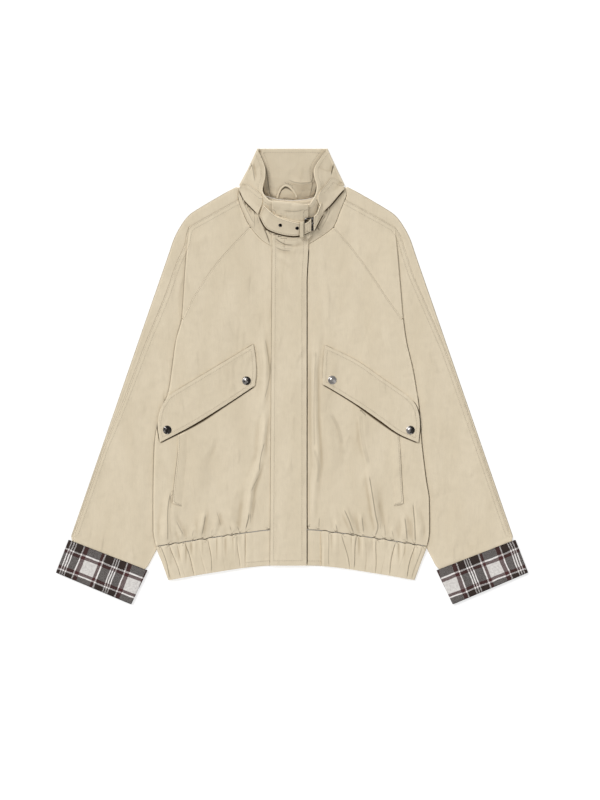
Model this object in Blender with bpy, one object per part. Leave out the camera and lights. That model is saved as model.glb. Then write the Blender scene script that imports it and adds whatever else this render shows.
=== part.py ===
"""A cotton utility jacket laid flat on its back, front up: raglan sleeves tucked behind the body, a tall collar
with a throat strap, a covered front, slanted pocket flaps, an elastic hem band and turned-back checked cuffs.

Frame: metres, +X to the viewer's right (the wearer's left), +Y towards the collar, +Z up off the surface it lies on.
Tables are in millimetres. "reach" is the distance from the centre line; "right" and "left" are the wearer's.
"""

import math

import bmesh
import bpy
import numpy as np

for old in list(bpy.data.objects):
    bpy.data.objects.remove(old, do_unlink=True)

MM = 0.001
CLOTH = 1.2  # one layer of twill
DOUBLE = 1.8  # two layers sewn together: flaps, placket, hem band, cuffs
STAND = 2.4  # the collar: two layers over a stiffener
GAP = 0.35  # between pieces that lie on each other
SEAM = 0.3  # between pieces that are sewn edge to edge
FLOOR = CLOTH / 2  # middle of the layer that lies on the surface
FRONT_LEVEL = 5.2  # middle of the fronts over the back, away from the sleeves
SLEEVE_EDGE = 3.4  # middle of a sleeve's upper layer near its two edges
SLEEVE_CROWN = 0.5  # how much higher it lies along its middle
TURN = 1.0  # radius of the folds where layers turn back under each other
SIDES = {"right": -1, "left": 1}


def table(names, *rows):
    """Named columns, sorted by the first one."""
    sheet = np.array(sorted(rows), float)
    return dict(zip(names.split(), sheet.T))


def follow(sheet, name, at):
    """A smooth line through one column of a table, with no overshoot."""
    key = next(iter(sheet))
    xs, ys = sheet[key], sheet[name]
    steps = np.diff(xs)
    slopes = np.diff(ys) / steps
    inner = np.where(slopes[1:] * slopes[:-1] > 0, 2 * slopes[1:] * slopes[:-1] / (slopes[1:] + slopes[:-1] + 1e-12), 0)
    tangents = np.concatenate([slopes[:1], inner, slopes[-1:]])
    at = np.asarray(at, float)
    i = np.clip(np.searchsorted(xs, at) - 1, 0, len(xs) - 2)
    t = (np.clip(at, xs[0], xs[-1]) - xs[i]) / steps[i]
    h = steps[i]
    return (
        ys[i] * (1 + 2 * t) * (1 - t) ** 2
        + ys[i + 1] * t * t * (3 - 2 * t)
        + tangents[i] * h * t * (1 - t) ** 2
        - tangents[i + 1] * h * t * t * (1 - t)
    )


def ease(t):
    t = np.clip(t, 0, 1)
    return t * t * (3 - 2 * t)


# ---- outlines, measured on the laid garment -------------------------------------------------------------------

# The outer line of shoulder and sleeve, from the neck point to the cuff.
OUTER = table(
    "y reach",
    (306, 84), (298, 99.5), (279, 132.8), (269, 149.5), (260, 163), (250, 172.2), (240, 178.8),
    (231, 184), (218, 190), (199, 196.4), (103, 229.6), (-60, 285.9), (-263, 356), (-330, 379.1),
)  # fmt: skip
# The fold where the sleeve tucks behind the body, then the body's own side edge.
EDGE = table(
    "y right left",
    (256, 165.5, 162), (240, 165, 164.3), (205, 168, 168), (168, 171, 171.2), (130, 173.5, 174.4), (93, 176, 177.6),
    (58, 185.5, 182.4), (12, 191.8, 193), (-25, 197.5, 199.4), (-50, 207.5, 203), (-108, 219.8, 207.4),
    (-166, 221.6, 214.4), (-198, 222, 219.2), (-247, 221.8, 219.7), (-272, 217.6, 215.6), (-300, 207.2, 205.6),
    (-327, 197.4, 195.8),
)  # fmt: skip
# The hidden inner edge of the tucked sleeve.
INNER = table(
    "y reach",
    (320, 190), (215, 167.3), (-45, 104), (-160, 157), (-220, 187.4), (-250, 203), (-278, 217.8), (-311.5, 235), (-366, 260.5),
)  # fmt: skip
# The seam between front and sleeve, up to where it turns under at the fold.
RAGLAN = table(
    "y right left",
    (240, 67, 67), (205, 100.5, 97.2), (177, 125, 118), (147, 146, 138.8), (113, 165.6, 161.4), (93, 174.6, 176.3),
)  # fmt: skip
# The same seam on the hidden fold, down to the underarm.
RAGLAN_HIDDEN = table("y reach", (94, 174.8), (-45, 106.6))
RAGLAN_BACK = table("y reach", (298, 62), (262, 84), (226, 104), (180, 126), (125, 142), (60, 143), (-10, 122), (-46.4, 95.5))
NECK = table(
    "y right left",
    (306, 84, 84), (291, 86.4, 87.6), (283, 86, 84.8), (266, 79.6, 77.4), (250, 72.8, 71.6), (240, 67, 67),
    (228, 57.4, 52), (218, 48, 36.4), (212, 38.5, 26), (208.5, 30, 16), (206.5, SEAM / 2, SEAM / 2),
)  # fmt: skip
# How far the overarm seam lies inside the outer line.
OVERARM = table(
    "y right left",
    (244, 13, 13), (240, 13.8, 14.5), (232, 16, 13.6), (222, 18, 12.8), (213, 20.5, 13), (200, 19.5, 13.5), (182, 17, 14.2),
    (168, 16.8, 14.4), (137, 17, 12), (96, 14.9, 8.6), (72, 12.9, 6.5), (43, 11.4, 4), (9, 10, 3), (-40, 8, 2.7),
    (-80, 5.5, 2.7), (-115, 2.7, 2.7), (-330, 2.7, 2.7),
)  # fmt: skip
HEM_SEAM = table("reach y", (0, -245.5), (35, -246.5), (74, -251), (146, -261.5), (218, -273))
HEM_EDGE = table("reach y", (0, -303.5), (35, -303.6), (65, -305.8), (130, -315.3), (198, -327))
# The collar's upper edge from the placket to the corner: it dips at the front.
COLLAR_TOP = {
    "right": [(-0.2, 277.4), (-32, 281.2), (-40.3, 285.9), (-46.7, 294.6), (-47.4, 302.1), (-43.5, 318.1), (-43.2, 333.3),
              (-46.7, 345), (-54.9, 364.6)],
    "left": [(0.2, 276), (26.1, 276.4), (31, 280.6), (37.9, 292.3), (40, 305.3), (36.8, 316), (35.2, 326.9), (36.8, 336.5),
             (45.4, 350.2), (56, 364.6)],
}  # fmt: skip
COLLAR_BACK_Y = 365.2
COLLAR_SIDE = table("y right left", (306, 84, 83.7), (322, 75.4, 75.9), (333, 69.3, 70.6), (346, 63.4, 64.6), (364.6, 54.9, 56))
NECK_BACK = table("reach y", (0, 282), (20, 283.6), (40, 288.6), (62, 298), (84, 306))
COLLAR_FOOT = 6.6  # height of the collar's foot at the neckline, middle of the layer
COLLAR_LIFT = 27.0  # how much higher its front edge stands
UNDERARM_Y = -45.0
RAGLAN_END_Y = 93.0
SHOULDER_Y = (240.0, 283.5)
# Rows that neighbours share, so that their seams run side by side.
NECK_ROWS = np.array([206.5, 210, 214, 220, 226, 232, 240, 250, 262, 274, 283.5, 290, 298, 306])
SEAM_ROWS = np.array([93, 125, 155, 180, 200, 214, 226, 240])


def spline(points, count):
    """Points at equal steps along a smooth curve through the given ones."""
    p = np.array(points, float)
    p = np.vstack([2 * p[0] - p[1], p, 2 * p[-1] - p[-2]])
    t = np.linspace(0, 1, 13)[:-1, None]
    runs = [
        0.5 * (2 * b + (c - a) * t + (2 * a - 5 * b + 4 * c - d) * t**2 + (3 * b - 3 * c + d - a) * t**3)
        for a, b, c, d in zip(p, p[1:], p[2:], p[3:])
    ]
    fine = np.vstack(runs + [p[-2:-1]])
    return resample(fine, count)


def resample(fine, count):
    along = np.concatenate([[0], np.cumsum(np.linalg.norm(np.diff(fine, axis=0), axis=1))])
    at = np.linspace(0, along[-1], count)
    return np.stack([np.interp(at, along, fine[:, k]) for k in range(fine.shape[1])], axis=1)


def distance(x, y, line):
    """Distance from plan points to a polyline, and the nearest point on it."""
    x, y = np.broadcast_arrays(np.asarray(x, float), np.asarray(y, float))
    p = np.stack([np.ravel(x), np.ravel(y)], axis=1)[:, None, :]
    a, b = line[None, :-1, :2], line[None, 1:, :2]
    t = np.clip(((p - a) * (b - a)).sum(2) / ((b - a) ** 2).sum(2), 0, 1)
    away = np.linalg.norm(p - a - t[..., None] * (b - a), axis=2)
    i = away.argmin(1)
    near = line[i] + t[np.arange(len(i)), i][:, None] * (line[i + 1] - line[i])
    return away.min(1).reshape(np.shape(x)), near.reshape(np.shape(x) + (line.shape[1],))


# ---- heights of the layers -------------------------------------------------------------------------------------


def neck(y, side):
    """The neck seam, straight between shared rows."""
    return np.interp(y, NECK_ROWS, follow(NECK, side, NECK_ROWS))


def raglan(y, side):
    return np.interp(y, SEAM_ROWS, follow(RAGLAN, side, SEAM_ROWS))


def raglan_back(y):
    return np.interp(y, RAGLAN_BACK["y"], RAGLAN_BACK["reach"])


def shoulder(y, side):
    low, high = SHOULDER_Y
    return np.interp(y, SHOULDER_Y, [float(follow(EDGE, side, low)), float(neck(high, side)) + SEAM])


def side_of(x):
    return np.where(np.asarray(x) < 0, 0, 1)


def by_side(sheet, x, y):
    return np.where(side_of(x) == 0, follow(sheet, "right", y), follow(sheet, "left", y))


def sleeve_z(x, y):
    """Middle of the sleeve's upper layer."""
    reach = np.abs(x)
    outside = (follow(OUTER, "reach", y) - reach) * 0.94
    inside = (reach - follow(INNER, "reach", y)) * 0.9
    crown = ease(np.minimum(outside, np.maximum(inside, 8)) / 42)
    return SLEEVE_EDGE + SLEEVE_CROWN * crown


def tuck_turn(y):
    """How far the layers have turned at the fold, 0 where it fades out at the shoulder to half a circle."""
    return math.pi * ease((240 - np.asarray(y, float)) / 34)


def tuck_depth(y, edge):
    """How far the hidden layer between the two turns reaches inwards from the fold."""
    y = np.asarray(y, float)
    return np.maximum(0.6 * ease((240 - y) / 10), edge - 2 * TURN - follow(INNER, "reach", y))


def tuck_height(y):
    """Height of the top layer over the sleeve's upper layer at the fold."""
    turn = tuck_turn(y)
    return 2 * TURN * (1 - np.cos(turn)) + 0.6 * ease((240 - y) / 10) * np.clip(np.sin(turn), 0, 1)


# The main folds of the two fronts: from one end to the other, how wide and how high (a trough is below zero).
FOLDS = table(
    "x0 y0 x1 y1 width height",
    (-46, 74, -35, 13, 7, 1.6), (-36, 0, -46, -62, 6, 1.3), (-40, -50, -56, -170, 8, 1.8), (-60, -180, -73, -246, 6, 1.9),
    (-128, -60, -131, -170, 11, -1.2), (-58, 160, -50, 70, 13, -1.1), (-139, -222, -145, -256, 5, 1.8),
    (-119, -233, -122, -252, 4, 1.6), (-183, -235, -173, -262, 5, 1.7), (-193, -190, -198, -264, 6, -2.0),
    (46, 74, 37, 13, 7, 1.5), (38, -60, 41, -140, 7, 1.4), (36, -180, 41, -210, 6, 1.2), (61, -50, 83, -155, 9, -1.4),
    (109, -56, 122, -140, 10, 1.3), (129, 74, 144, -33, 14, -1.2), (121, -150, 137, -250, 7, 1.9),
    (83, -219, 99, -249, 5, 1.7), (110, -219, 114, -249, 4, 1.4), (181, -231, 184, -264, 5, 1.7),
    (196, -219, 198, -266, 5, -1.6),
)  # fmt: skip


def folds_z(x, y):
    """Ridges and troughs that run along short lines and fade at their ends."""
    total = np.zeros(np.shape(x))
    for x0, y0, x1, y1, width, height in zip(*FOLDS.values()):
        run = np.array([x1 - x0, y1 - y0])
        long = np.hypot(*run)
        along = ((x - x0) * run[0] + (y - y0) * run[1]) / long**2
        across = ((x - x0) * run[1] - (y - y0) * run[0]) / long
        total = total + height * np.exp(-((across / width) ** 2)) * ease(1.15 - np.abs(along - 0.5) * 1.8)
    return total


NECK_LINES = {side: np.array([(sign * neck(y, side), y) for y in NECK_ROWS]) for side, sign in SIDES.items()}
PLACKET = (-33.5, 24.0)  # where the storm flap covers the fronts


def front_z(x, y):
    """Middle of the top layer: the fronts, and the sleeves as far as the fold."""
    x, y = np.asarray(x, float), np.asarray(y, float)
    reach = np.abs(x)
    edge_z = sleeve_z(np.sign(x) * np.minimum(reach, by_side(EDGE, x, y)), y) + tuck_height(y)
    start = np.minimum(follow(INNER, "reach", y), by_side(EDGE, x, y)) - 34
    raised = FRONT_LEVEL + (edge_z - FRONT_LEVEL) * ease((reach - start) / 38)
    near = np.where(
        side_of(x) == 0, distance(x, y, NECK_LINES["right"])[0], distance(x, y, NECK_LINES["left"])[0]
    )
    foot = (COLLAR_FOOT - 0.3 - FRONT_LEVEL) * ease(1 - near / 45)
    beside = ease((np.maximum(PLACKET[0] - x, x - PLACKET[1]) - 3) / 9)
    folds = folds_z(x, y) * ease((240 - y) / 60) * ease(near / 25) * beside
    room = np.maximum(raised - ground_z(x, y) - CLOTH - 2 * GAP, 0.05)
    return raised + foot + np.where(folds < 0, -room * (1 - np.exp(np.minimum(folds, 0) / room)), folds)


def ground_z(x, y):
    """Middle of the layer under the fronts: on the surface, and over the tucked sleeves at the sides."""
    reach = np.abs(x)
    over = sleeve_z(x, y) + 2 * TURN
    return FLOOR + (over - FLOOR) * ease((reach - (follow(INNER, "reach", y) - 10)) / 11)


def back_z(x, y):
    return np.where(np.asarray(y) < UNDERARM_Y, ground_z(x, y), FLOOR)


# ---- sheets ----------------------------------------------------------------------------------------------------

TWILL = ("Twill", (0.68, 0.60, 0.45, 1.0), 0.85, 0.0)
TWILL_INSIDE = ("Twill inside", (0.62, 0.54, 0.39, 1.0), 0.85, 0.0)
CHECK = ("Checked cotton", (0.22, 0.19, 0.18, 1.0), 0.9, 0.0)
METAL = ("Polished gunmetal", (0.45, 0.44, 0.43, 1.0), 0.25, 1.0)


def material(finish):
    name, colour, roughness, metallic = finish
    found = bpy.data.materials.get(name)
    if found:
        return found
    found = bpy.data.materials.new(name)
    found.use_nodes = True
    shader = found.node_tree.nodes["Principled BSDF"]
    shader.inputs["Base Color"].default_value = colour
    shader.inputs["Roughness"].default_value = roughness
    shader.inputs["Metallic"].default_value = metallic
    return found


def sheet(name, patches, thick, finish=TWILL):
    """A cloth piece: patches of rows and columns of middle points that share their edges, given a thickness."""
    shape = bmesh.new()
    for patch in patches:
        rows = [[shape.verts.new(np.array(p) * MM) for p in row] for row in patch]
        for upper, lower in zip(rows, rows[1:]):
            for a, b, c, d in zip(upper, upper[1:], lower[1:], lower):
                shape.faces.new((a, d, c, b))
    bmesh.ops.remove_doubles(shape, verts=shape.verts, dist=0.02 * MM)
    bmesh.ops.dissolve_degenerate(shape, edges=shape.edges, dist=0.01 * MM)
    bmesh.ops.recalc_face_normals(shape, faces=shape.faces)
    mesh = bpy.data.meshes.new(name)
    shape.to_mesh(mesh)
    shape.free()
    mesh.materials.append(material(finish))
    piece = bpy.data.objects.new(name, mesh)
    bpy.context.scene.collection.objects.link(piece)
    mesh.shade_smooth()
    wall = piece.modifiers.new("Cloth", "SOLIDIFY")
    wall.thickness = thick * MM
    wall.offset = 0
    return piece


def surface(x, y, z):
    return np.stack(np.broadcast_arrays(x, y, z), axis=-1)


def arc(reach, low, high, radius, opens, count=5):
    """Half a turn between two layers, seen along the fold. opens is 1 when it bulges outwards, -1 inwards.
    It runs from the upper layer to the lower one."""
    turn = np.linspace(0, math.pi, count)
    middle, tall = (low + high) / 2, (high - low) / 2
    return reach[..., None] + opens * radius * np.sin(turn), middle[..., None] + tall[..., None] * np.cos(turn)


def tuck(y, edge):
    """The S-shaped path at the fold, from the top layer round to the sleeve's upper layer:
    reach, height above that layer, for each row, and the number of points in its first turn."""
    y = np.atleast_1d(y)
    turn, depth = tuck_turn(y), tuck_depth(y, edge)
    steps = np.linspace(0, 1, 5)
    angle = turn[:, None] * steps
    out = TURN * np.sin(angle)
    down = TURN * (1 - np.cos(angle))
    run = np.linspace(0, 1, 4)[1:-1]
    mid_x = out[:, -1:] + np.cos(turn)[:, None] * depth[:, None] * run
    mid_z = down[:, -1:] + np.sin(turn)[:, None] * depth[:, None] * run
    end_x = out[:, -1:] + (np.cos(turn) * depth)[:, None]
    end_z = down[:, -1:] + (np.sin(turn) * depth)[:, None]
    back_x = end_x + out[:, -1:] - out[:, ::-1]
    back_z = end_z + down[:, -1:] - down[:, ::-1]
    first = edge - TURN * np.sin(np.minimum(turn, math.pi / 2))
    path = first[:, None] + np.concatenate([out, mid_x, back_x], axis=1)
    fall = np.concatenate([down, mid_z, back_z], axis=1)
    return path, fall[:, -1:] - fall


# ---- the back ---------------------------------------------------------------------------------------------------


def lowered(y, reach):
    """Lines across the body bend down to the hem seam as they near it."""
    bend = ease((-60 - y) / 186)
    return y + bend * (follow(HEM_SEAM, "y", reach) - HEM_SEAM["y"].max())


def back_half(sign, side):
    split = UNDERARM_Y - 1.4
    high = np.array([298, 262, 226, 180, 125, 60, -10, split])
    low = np.array([split, -66, -92, -120, -150, -180, -206, -222, -234, -245.5 + SEAM])
    rows = np.concatenate([high, low[1:]])
    edge = np.where(rows >= split, raglan_back(rows) - SEAM / 2, follow(INNER, "reach", lowered(rows, follow(INNER, "reach", rows) + 4)) - 10)
    edge[len(high) - 1] = follow(INNER, "reach", split) - 10
    f = np.linspace(0, 1, 8)
    reach = edge[:, None] * f
    arch = follow(NECK_BACK, "y", 62 * f) - NECK_BACK["y"][3] - SEAM
    y = lowered(rows[:, None] + arch * np.clip((rows[:, None] - 180) / 118, 0, 1), reach)
    centre = surface(sign * reach, y, back_z(sign * reach, y))
    near = lowered(low, follow(INNER, "reach", low) + 4)
    start = follow(INNER, "reach", near) - 10
    end = follow(EDGE, side, lowered(low, 215.0)) - TURN - 3.6
    spread = np.maximum(end - start, 3)
    steps = np.array([0, 3, 5.5, 8, 11.5])[None] * np.minimum(1, spread / 14)[:, None]
    rest = steps[:, -1:] + (spread[:, None] - steps[:, -1:]) * np.array([0.25, 0.5, 0.75, 1.0])
    reach = start[:, None] + np.concatenate([steps, rest], axis=1)
    y = lowered(low[:, None], reach)
    outer = surface(sign * reach, y, ground_z(sign * reach, y))
    outer[0, 0] = centre[len(high) - 1, -1]
    return [centre, outer]


sheet("back", back_half(-1, "right") + back_half(1, "left"), CLOTH)


# ---- the fronts -------------------------------------------------------------------------------------------------


def front(side):
    sign = SIDES[side]
    top = np.array([238.4, 232, 226, 220, 214, 210, 206.5, 200, 180, 155, 140, 125, 110])
    down = np.array([RAGLAN_END_Y - 4 * SEAM, 70, 46, 22, 0, -22, UNDERARM_Y, UNDERARM_Y - 1, -70, -95, -120, -145, -168, -190,
                     -208, -224, -236, -245.5 + SEAM])
    rows = np.concatenate([top, down])
    start = np.where(rows > 206.5, neck(rows, side) + SEAM / 2, SEAM)
    turned = follow(EDGE, side, lowered(rows, 215.0)) - TURN
    end = np.where(rows > RAGLAN_END_Y, raglan(rows, side) - SEAM / 2, turned)
    f = np.linspace(0, 1, 13)
    reach = start[:, None] + f * np.maximum(end - start, 0)[:, None]
    y = lowered(rows[:, None], reach)
    panel = surface(sign * reach, y, front_z(sign * reach, y))
    # Down the side it turns under, as far as the hidden raglan seam and then the side seam.
    edge = turned[len(top):]
    y = y[len(top):, -1]
    high = panel[len(top):, -1, 2]
    low = np.minimum(sleeve_z(sign * edge, y) + 2 * TURN, high - 1.7)
    reach, z = arc(edge, low, high, TURN, 1)
    turn = surface(sign * reach, y[:, None], z)
    hidden = np.where(down >= UNDERARM_Y, follow(RAGLAN_HIDDEN, "reach", down) + SEAM, edge - 3)
    hidden = np.minimum(hidden, edge - 0.4)
    reach = edge[:, None] + np.linspace(0, 1, 6) * (hidden - edge)[:, None]
    flat = sleeve_z(sign * reach, y[:, None]) + 2 * TURN
    flat = flat + (low - flat[:, 0])[:, None] * ease(1 - (edge[:, None] - reach) / 20)
    under = surface(sign * reach, y[:, None], flat)
    return [panel, turn, under]


for side in SIDES:
    sheet(f"front_{side}", front(side), CLOTH)


# ---- the raglan sleeves: each a front and a back panel, sewn along the top of the arm and under it ---------------


SLEEVE_ROWS = np.array([240, 226, 214, 200, 180, 155, 125, RAGLAN_END_Y, 60, 25, -10, UNDERARM_Y, UNDERARM_Y - 1, -80, -118, -155,
                        -190, -222, -248, -262, -271], float)  # fmt: skip
CUFF_SLANT = 48.5  # the cuff's inner end lies this much lower than its outer end


def inner_row(y):
    """Lines across the sleeve slant more and more towards the cuff."""
    return y - CUFF_SLANT * np.clip((UNDERARM_Y - y) / 218, 0, 1.04) ** 1.15


def overarm(y, side):
    return follow(OUTER, "reach", y) - follow(OVERARM, side, y)


def squeezed(row):
    """How far a row of the sleeve has slipped into the cuff."""
    return ease((-256 - row) / 7)


CUFF_INSIDE = {"low": 2.75, "high": 4.35, "narrower": 3.4}


def sleeve_front(side):
    sign = SIDES[side]
    # On top, from the neckline and the raglan seam to the shoulder seam and the fold.
    rows = np.array([283.5, 274, 262, 250, 240, 226, 214, 200, 180, 155, 125, RAGLAN_END_Y + 2 * SEAM])
    seam = np.where(rows >= 240, neck(rows, side), raglan(rows, side)) + SEAM / 2
    edge = follow(EDGE, side, rows) - TURN * np.sin(np.minimum(tuck_turn(rows), math.pi / 2)) - SEAM / 2 * (rows == 240)
    end = np.where(rows > 240, shoulder(rows, side) - SEAM / 2, edge)
    seam = np.minimum(seam, end)
    reach = seam[:, None] + np.linspace(0, 1, 8) * (end - seam)[:, None]
    y = np.broadcast_to(rows[:, None], reach.shape)
    panel = surface(sign * reach, y, front_z(sign * reach, y))
    # The fold down to the sleeve's upper layer.
    rows = SLEEVE_ROWS[SLEEVE_ROWS >= UNDERARM_Y].copy()
    rows[rows == RAGLAN_END_Y] += 2 * SEAM
    path, above = tuck(rows, follow(EDGE, side, rows) - SEAM / 2 * (rows == 240))
    y = np.broadcast_to(rows[:, None], path.shape)
    ground = sleeve_z(sign * path[:, -1:], rows[:, None])
    z = ground + above
    high = front_z(sign * path[:, 0], rows)
    z = z + (high - z[:, 0])[:, None] * np.clip(1 - np.arange(z.shape[1]) / 5, 0, 1)
    first = surface(sign * path, y, z)
    turn = first[rows > RAGLAN_END_Y, :5]
    under = first[:, 4:].copy()
    start = follow(RAGLAN_HIDDEN, "reach", rows) - SEAM
    for i in np.where(rows <= RAGLAN_END_Y + 1)[0]:
        from_x = max(start[i], path[i, 7] + 0.5)
        under[i, :4, 0] = sign * np.linspace(from_x, path[i, 7], 4)
    flat = sleeve_z(under[..., 0], under[..., 1]) + 2 * TURN
    under[:, :4, 2] = np.where(tuck_turn(rows)[:, None] > 3.1, flat[:, :4], under[:, :4, 2])
    turn[:, -1] = under[: len(turn), 0]
    # Below the underarm it starts at the underarm seam, on the surface.
    low_rows = SLEEVE_ROWS[SLEEVE_ROWS < UNDERARM_Y]
    slip = squeezed(low_rows)
    y_in = inner_row(low_rows)
    inner = follow(INNER, "reach", y_in) + CUFF_INSIDE["narrower"] * slip
    high = sleeve_z(sign * (inner + 1.4), y_in)
    high = high + (CUFF_INSIDE["high"] - high) * slip
    low = FLOOR + (CUFF_INSIDE["low"] - FLOOR) * slip
    reach, z = arc(inner + 1.4, low, high, 1.4, -1)
    hem = surface(sign * reach[:, ::-1], y_in[:, None], z[:, ::-1])
    # The sleeve's upper layer, from the fold or the underarm seam to the overarm seam.
    starts = np.concatenate([np.abs(under[:, -1, 0]), inner + 1.4])
    ys_in = np.concatenate([rows, y_in])
    rows_all = np.concatenate([rows, low_rows])
    slip = squeezed(rows_all)
    ends = overarm(rows_all, side) - SEAM / 2 - CUFF_INSIDE["narrower"] * slip
    ends[0] = starts[0]
    f = np.linspace(0, 1, 10)
    reach = starts[:, None] + f * (ends - starts)[:, None]
    y = ys_in[:, None] + f * (rows_all - ys_in)[:, None]
    z = sleeve_z(sign * reach, y)
    z = z + (CUFF_INSIDE["high"] - z) * slip[:, None]
    z[: len(rows), 0] = under[:, -1, 2]
    z[len(rows) :, 0] = hem[:, -1, 2]
    upper = surface(sign * reach, y, z)
    return [panel, turn, under, hem, upper]


def sleeve_back(side):
    sign = SIDES[side]
    rows = np.concatenate([[303, 298, 290, 283.5, 274, 262, 250], SLEEVE_ROWS])
    rows[rows == UNDERARM_Y] += 1.5
    slip = squeezed(rows)
    y_in = inner_row(rows)
    radius = 1.4
    outer = follow(OUTER, "reach", rows) - CUFF_INSIDE["narrower"] * slip - radius
    seam = np.where(rows > 283.5, neck(rows, side), np.where(rows >= 240, shoulder(rows, side), overarm(rows, side) - CUFF_INSIDE["narrower"] * slip))
    seam = np.minimum(seam + SEAM / 2 + 1.5 * SEAM * ((rows <= 240) & (rows >= 226)), outer - 0.1)
    high = np.where(rows > 241, front_z(sign * outer, rows), sleeve_z(sign * outer, rows))
    high = np.minimum(high, SLEEVE_EDGE + 0.2) * (1 - slip) + CUFF_INSIDE["high"] * slip
    low = FLOOR + (CUFF_INSIDE["low"] - FLOOR) * slip
    # Over the top of the arm.
    reach = seam[:, None] + np.linspace(0, 1, 4) * (outer - seam)[:, None]
    y = np.broadcast_to(rows[:, None], reach.shape)
    z = np.where(y > 239, front_z(sign * reach, y), sleeve_z(sign * reach, y))
    z = z + (CUFF_INSIDE["high"] - z) * slip[:, None]
    z[:, -1] = high
    strip = surface(sign * reach, y, z)
    # Round the outer edge.
    reach, z = arc(outer, low, high, radius, 1)
    turn = surface(sign * reach, rows[:, None], z)
    # Along the surface to the raglan seam or the underarm seam.
    top = np.interp(rows, NECK_BACK["y"], NECK_BACK["reach"])
    under_seam = follow(INNER, "reach", y_in) + 1.4 + CUFF_INSIDE["narrower"] * slip + SEAM
    inner = np.where(rows > 298, top + 4 * SEAM, np.where(rows >= UNDERARM_Y, raglan_back(rows), under_seam)) + SEAM / 2
    f = np.linspace(0, 1, 6)
    reach = outer[:, None] + f * (inner - outer)[:, None]
    y = rows[:, None] + f * (y_in - rows)[:, None]
    flat = surface(sign * reach, y, low[:, None])
    return [strip, turn, flat]


for side in SIDES:
    sheet(f"sleeve_front_{side}", sleeve_front(side), CLOTH)
    sheet(f"sleeve_back_{side}", sleeve_back(side), CLOTH)


# ---- cuffs: a flattened tube of checked cotton round each sleeve end ----------------------------------------------

CUFF_CORNERS = {"outer top": (357.6, -262.4), "outer end": (378, -315), "inner end": (258.6, -365.3), "inner top": (232.6, -310.9)}
CUFF_LOW, CUFF_HIGH = DOUBLE / 2, 6.3


def cuff(side):
    sign = SIDES[side]
    outer_top, outer_end, inner_end, inner_top = (np.array(p) for p in CUFF_CORNERS.values())
    across = outer_top - inner_top
    across = across / np.linalg.norm(across)
    radius = 2.2
    turn = np.linspace(-math.pi / 2, math.pi / 2, 6)
    middle, tall = (CUFF_LOW + CUFF_HIGH) / 2, (CUFF_HIGH - CUFF_LOW) / 2
    rows = []
    for t in np.linspace(0, 1, 6):
        a = inner_top + t * (inner_end - inner_top) + across * radius
        b = outer_top + t * (outer_end - outer_top) - across * radius
        flat = np.linspace(0, 1, 9)[:, None]
        low = [(*p, CUFF_LOW) for p in a + flat * (b - a)]
        right = [(*(b + across * radius * math.cos(v)), middle + tall * math.sin(v)) for v in turn[1:-1]]
        high = [(*p, CUFF_HIGH) for p in b + flat * (a - b)]
        left = [(*(a - across * radius * math.cos(v)), middle - tall * math.sin(v)) for v in turn[1:-1]]
        rows.append([(sign * x, y, z) for x, y, z in low + right + high + left + low[:1]])
    return [np.array(rows)]


for side in SIDES:
    sheet(f"cuff_{side}", cuff(side), DOUBLE, CHECK)


# ---- the hem: an elastic band, gathered at the front, between two flat tabs ----------------------------------------

BAND = 2.0
BAND_LOW, BAND_HIGH = BAND / 2 + 0.02, 5.0
TAB_ENDS = {"right": 74.2, "left": 45.8}
GATHERS = 10  # on each side of the front
GATHER_HEIGHT = 1.1


def band_z(x, y, t):
    """Middle of the band's front layer; t runs from its seam to its lower edge."""
    top = front_z(x, y)
    return top + (BAND_HIGH - top) * ease(t * 1.1) + 0.25 * ease(t * 4)


def hem_band():
    rows = np.array([0, 0.35, 0.75, 1.0])[:, None]

    def front_layer(side):
        sign = SIDES[side]
        count = GATHERS * 4 + 1
        # Each gather has its own width.
        pace = 1 + 0.35 * np.sin(np.arange(count) * 0.9 + sign) + 0.25 * np.sin(np.arange(count) * 0.37 + 2)
        f = np.concatenate([[0], np.cumsum(pace[:-1] + pace[1:])])
        f = (f / f[-1])[None]
        corner = by_side(EDGE, sign * 200, follow(HEM_SEAM, "y", 215) + (follow(HEM_EDGE, "y", 200) - follow(HEM_SEAM, "y", 215)) * rows)
        reach = TAB_ENDS[side] + SEAM + f * (corner - 2.2 - TAB_ENDS[side] - SEAM)
        upper = follow(HEM_SEAM, "y", reach) - SEAM
        y = upper + (follow(HEM_EDGE, "y", reach) - upper) * rows
        wave = np.cos(np.arange(count) * math.pi / 2)[None]
        size = GATHER_HEIGHT * (0.7 + 0.3 * np.sin(np.arange(count) * 0.55 + 2 * sign))[None]
        size = size * ease(np.minimum(f, 1 - f) * 12) * (0.45 + 0.55 * np.sin(math.pi * np.clip(rows, 0.1, 0.9)))
        return surface(sign * reach, y, band_z(sign * reach, y, rows) + wave * size)

    right, left = front_layer("right"), front_layer("left")
    turns = []
    for side, layer in (("right", right), ("left", left)):
        end = layer[:, -1]
        low = np.maximum(BAND_LOW, ground_z(end[:, 0], end[:, 1]) + 0.5)
        low = np.minimum(low, end[:, 2] - 2.6)
        reach, z = arc(np.abs(end[:, 0]), low, end[:, 2], 2.2, 1)
        turns.append(surface(SIDES[side] * reach, end[:, 1:2], z))
    a, b = turns[0][:, -1], turns[1][:, -1]
    f = np.linspace(0, 1, 15)[None]
    x = a[:, :1] + f * (b[:, :1] - a[:, :1])
    upper = follow(HEM_SEAM, "y", np.abs(x[0])) - SEAM
    y = upper + (follow(HEM_EDGE, "y", np.abs(x)) - upper) * rows
    z = np.maximum(BAND_LOW, ground_z(x, y) + 0.5)
    back_layer = surface(x, y, z)
    back_layer[:, 0], back_layer[:, -1] = a, b
    return [right[:, ::-1], turns[0][:, ::-1][:, ::-1], back_layer, turns[1], left]


sheet("hem_band", hem_band(), BAND)


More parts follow.
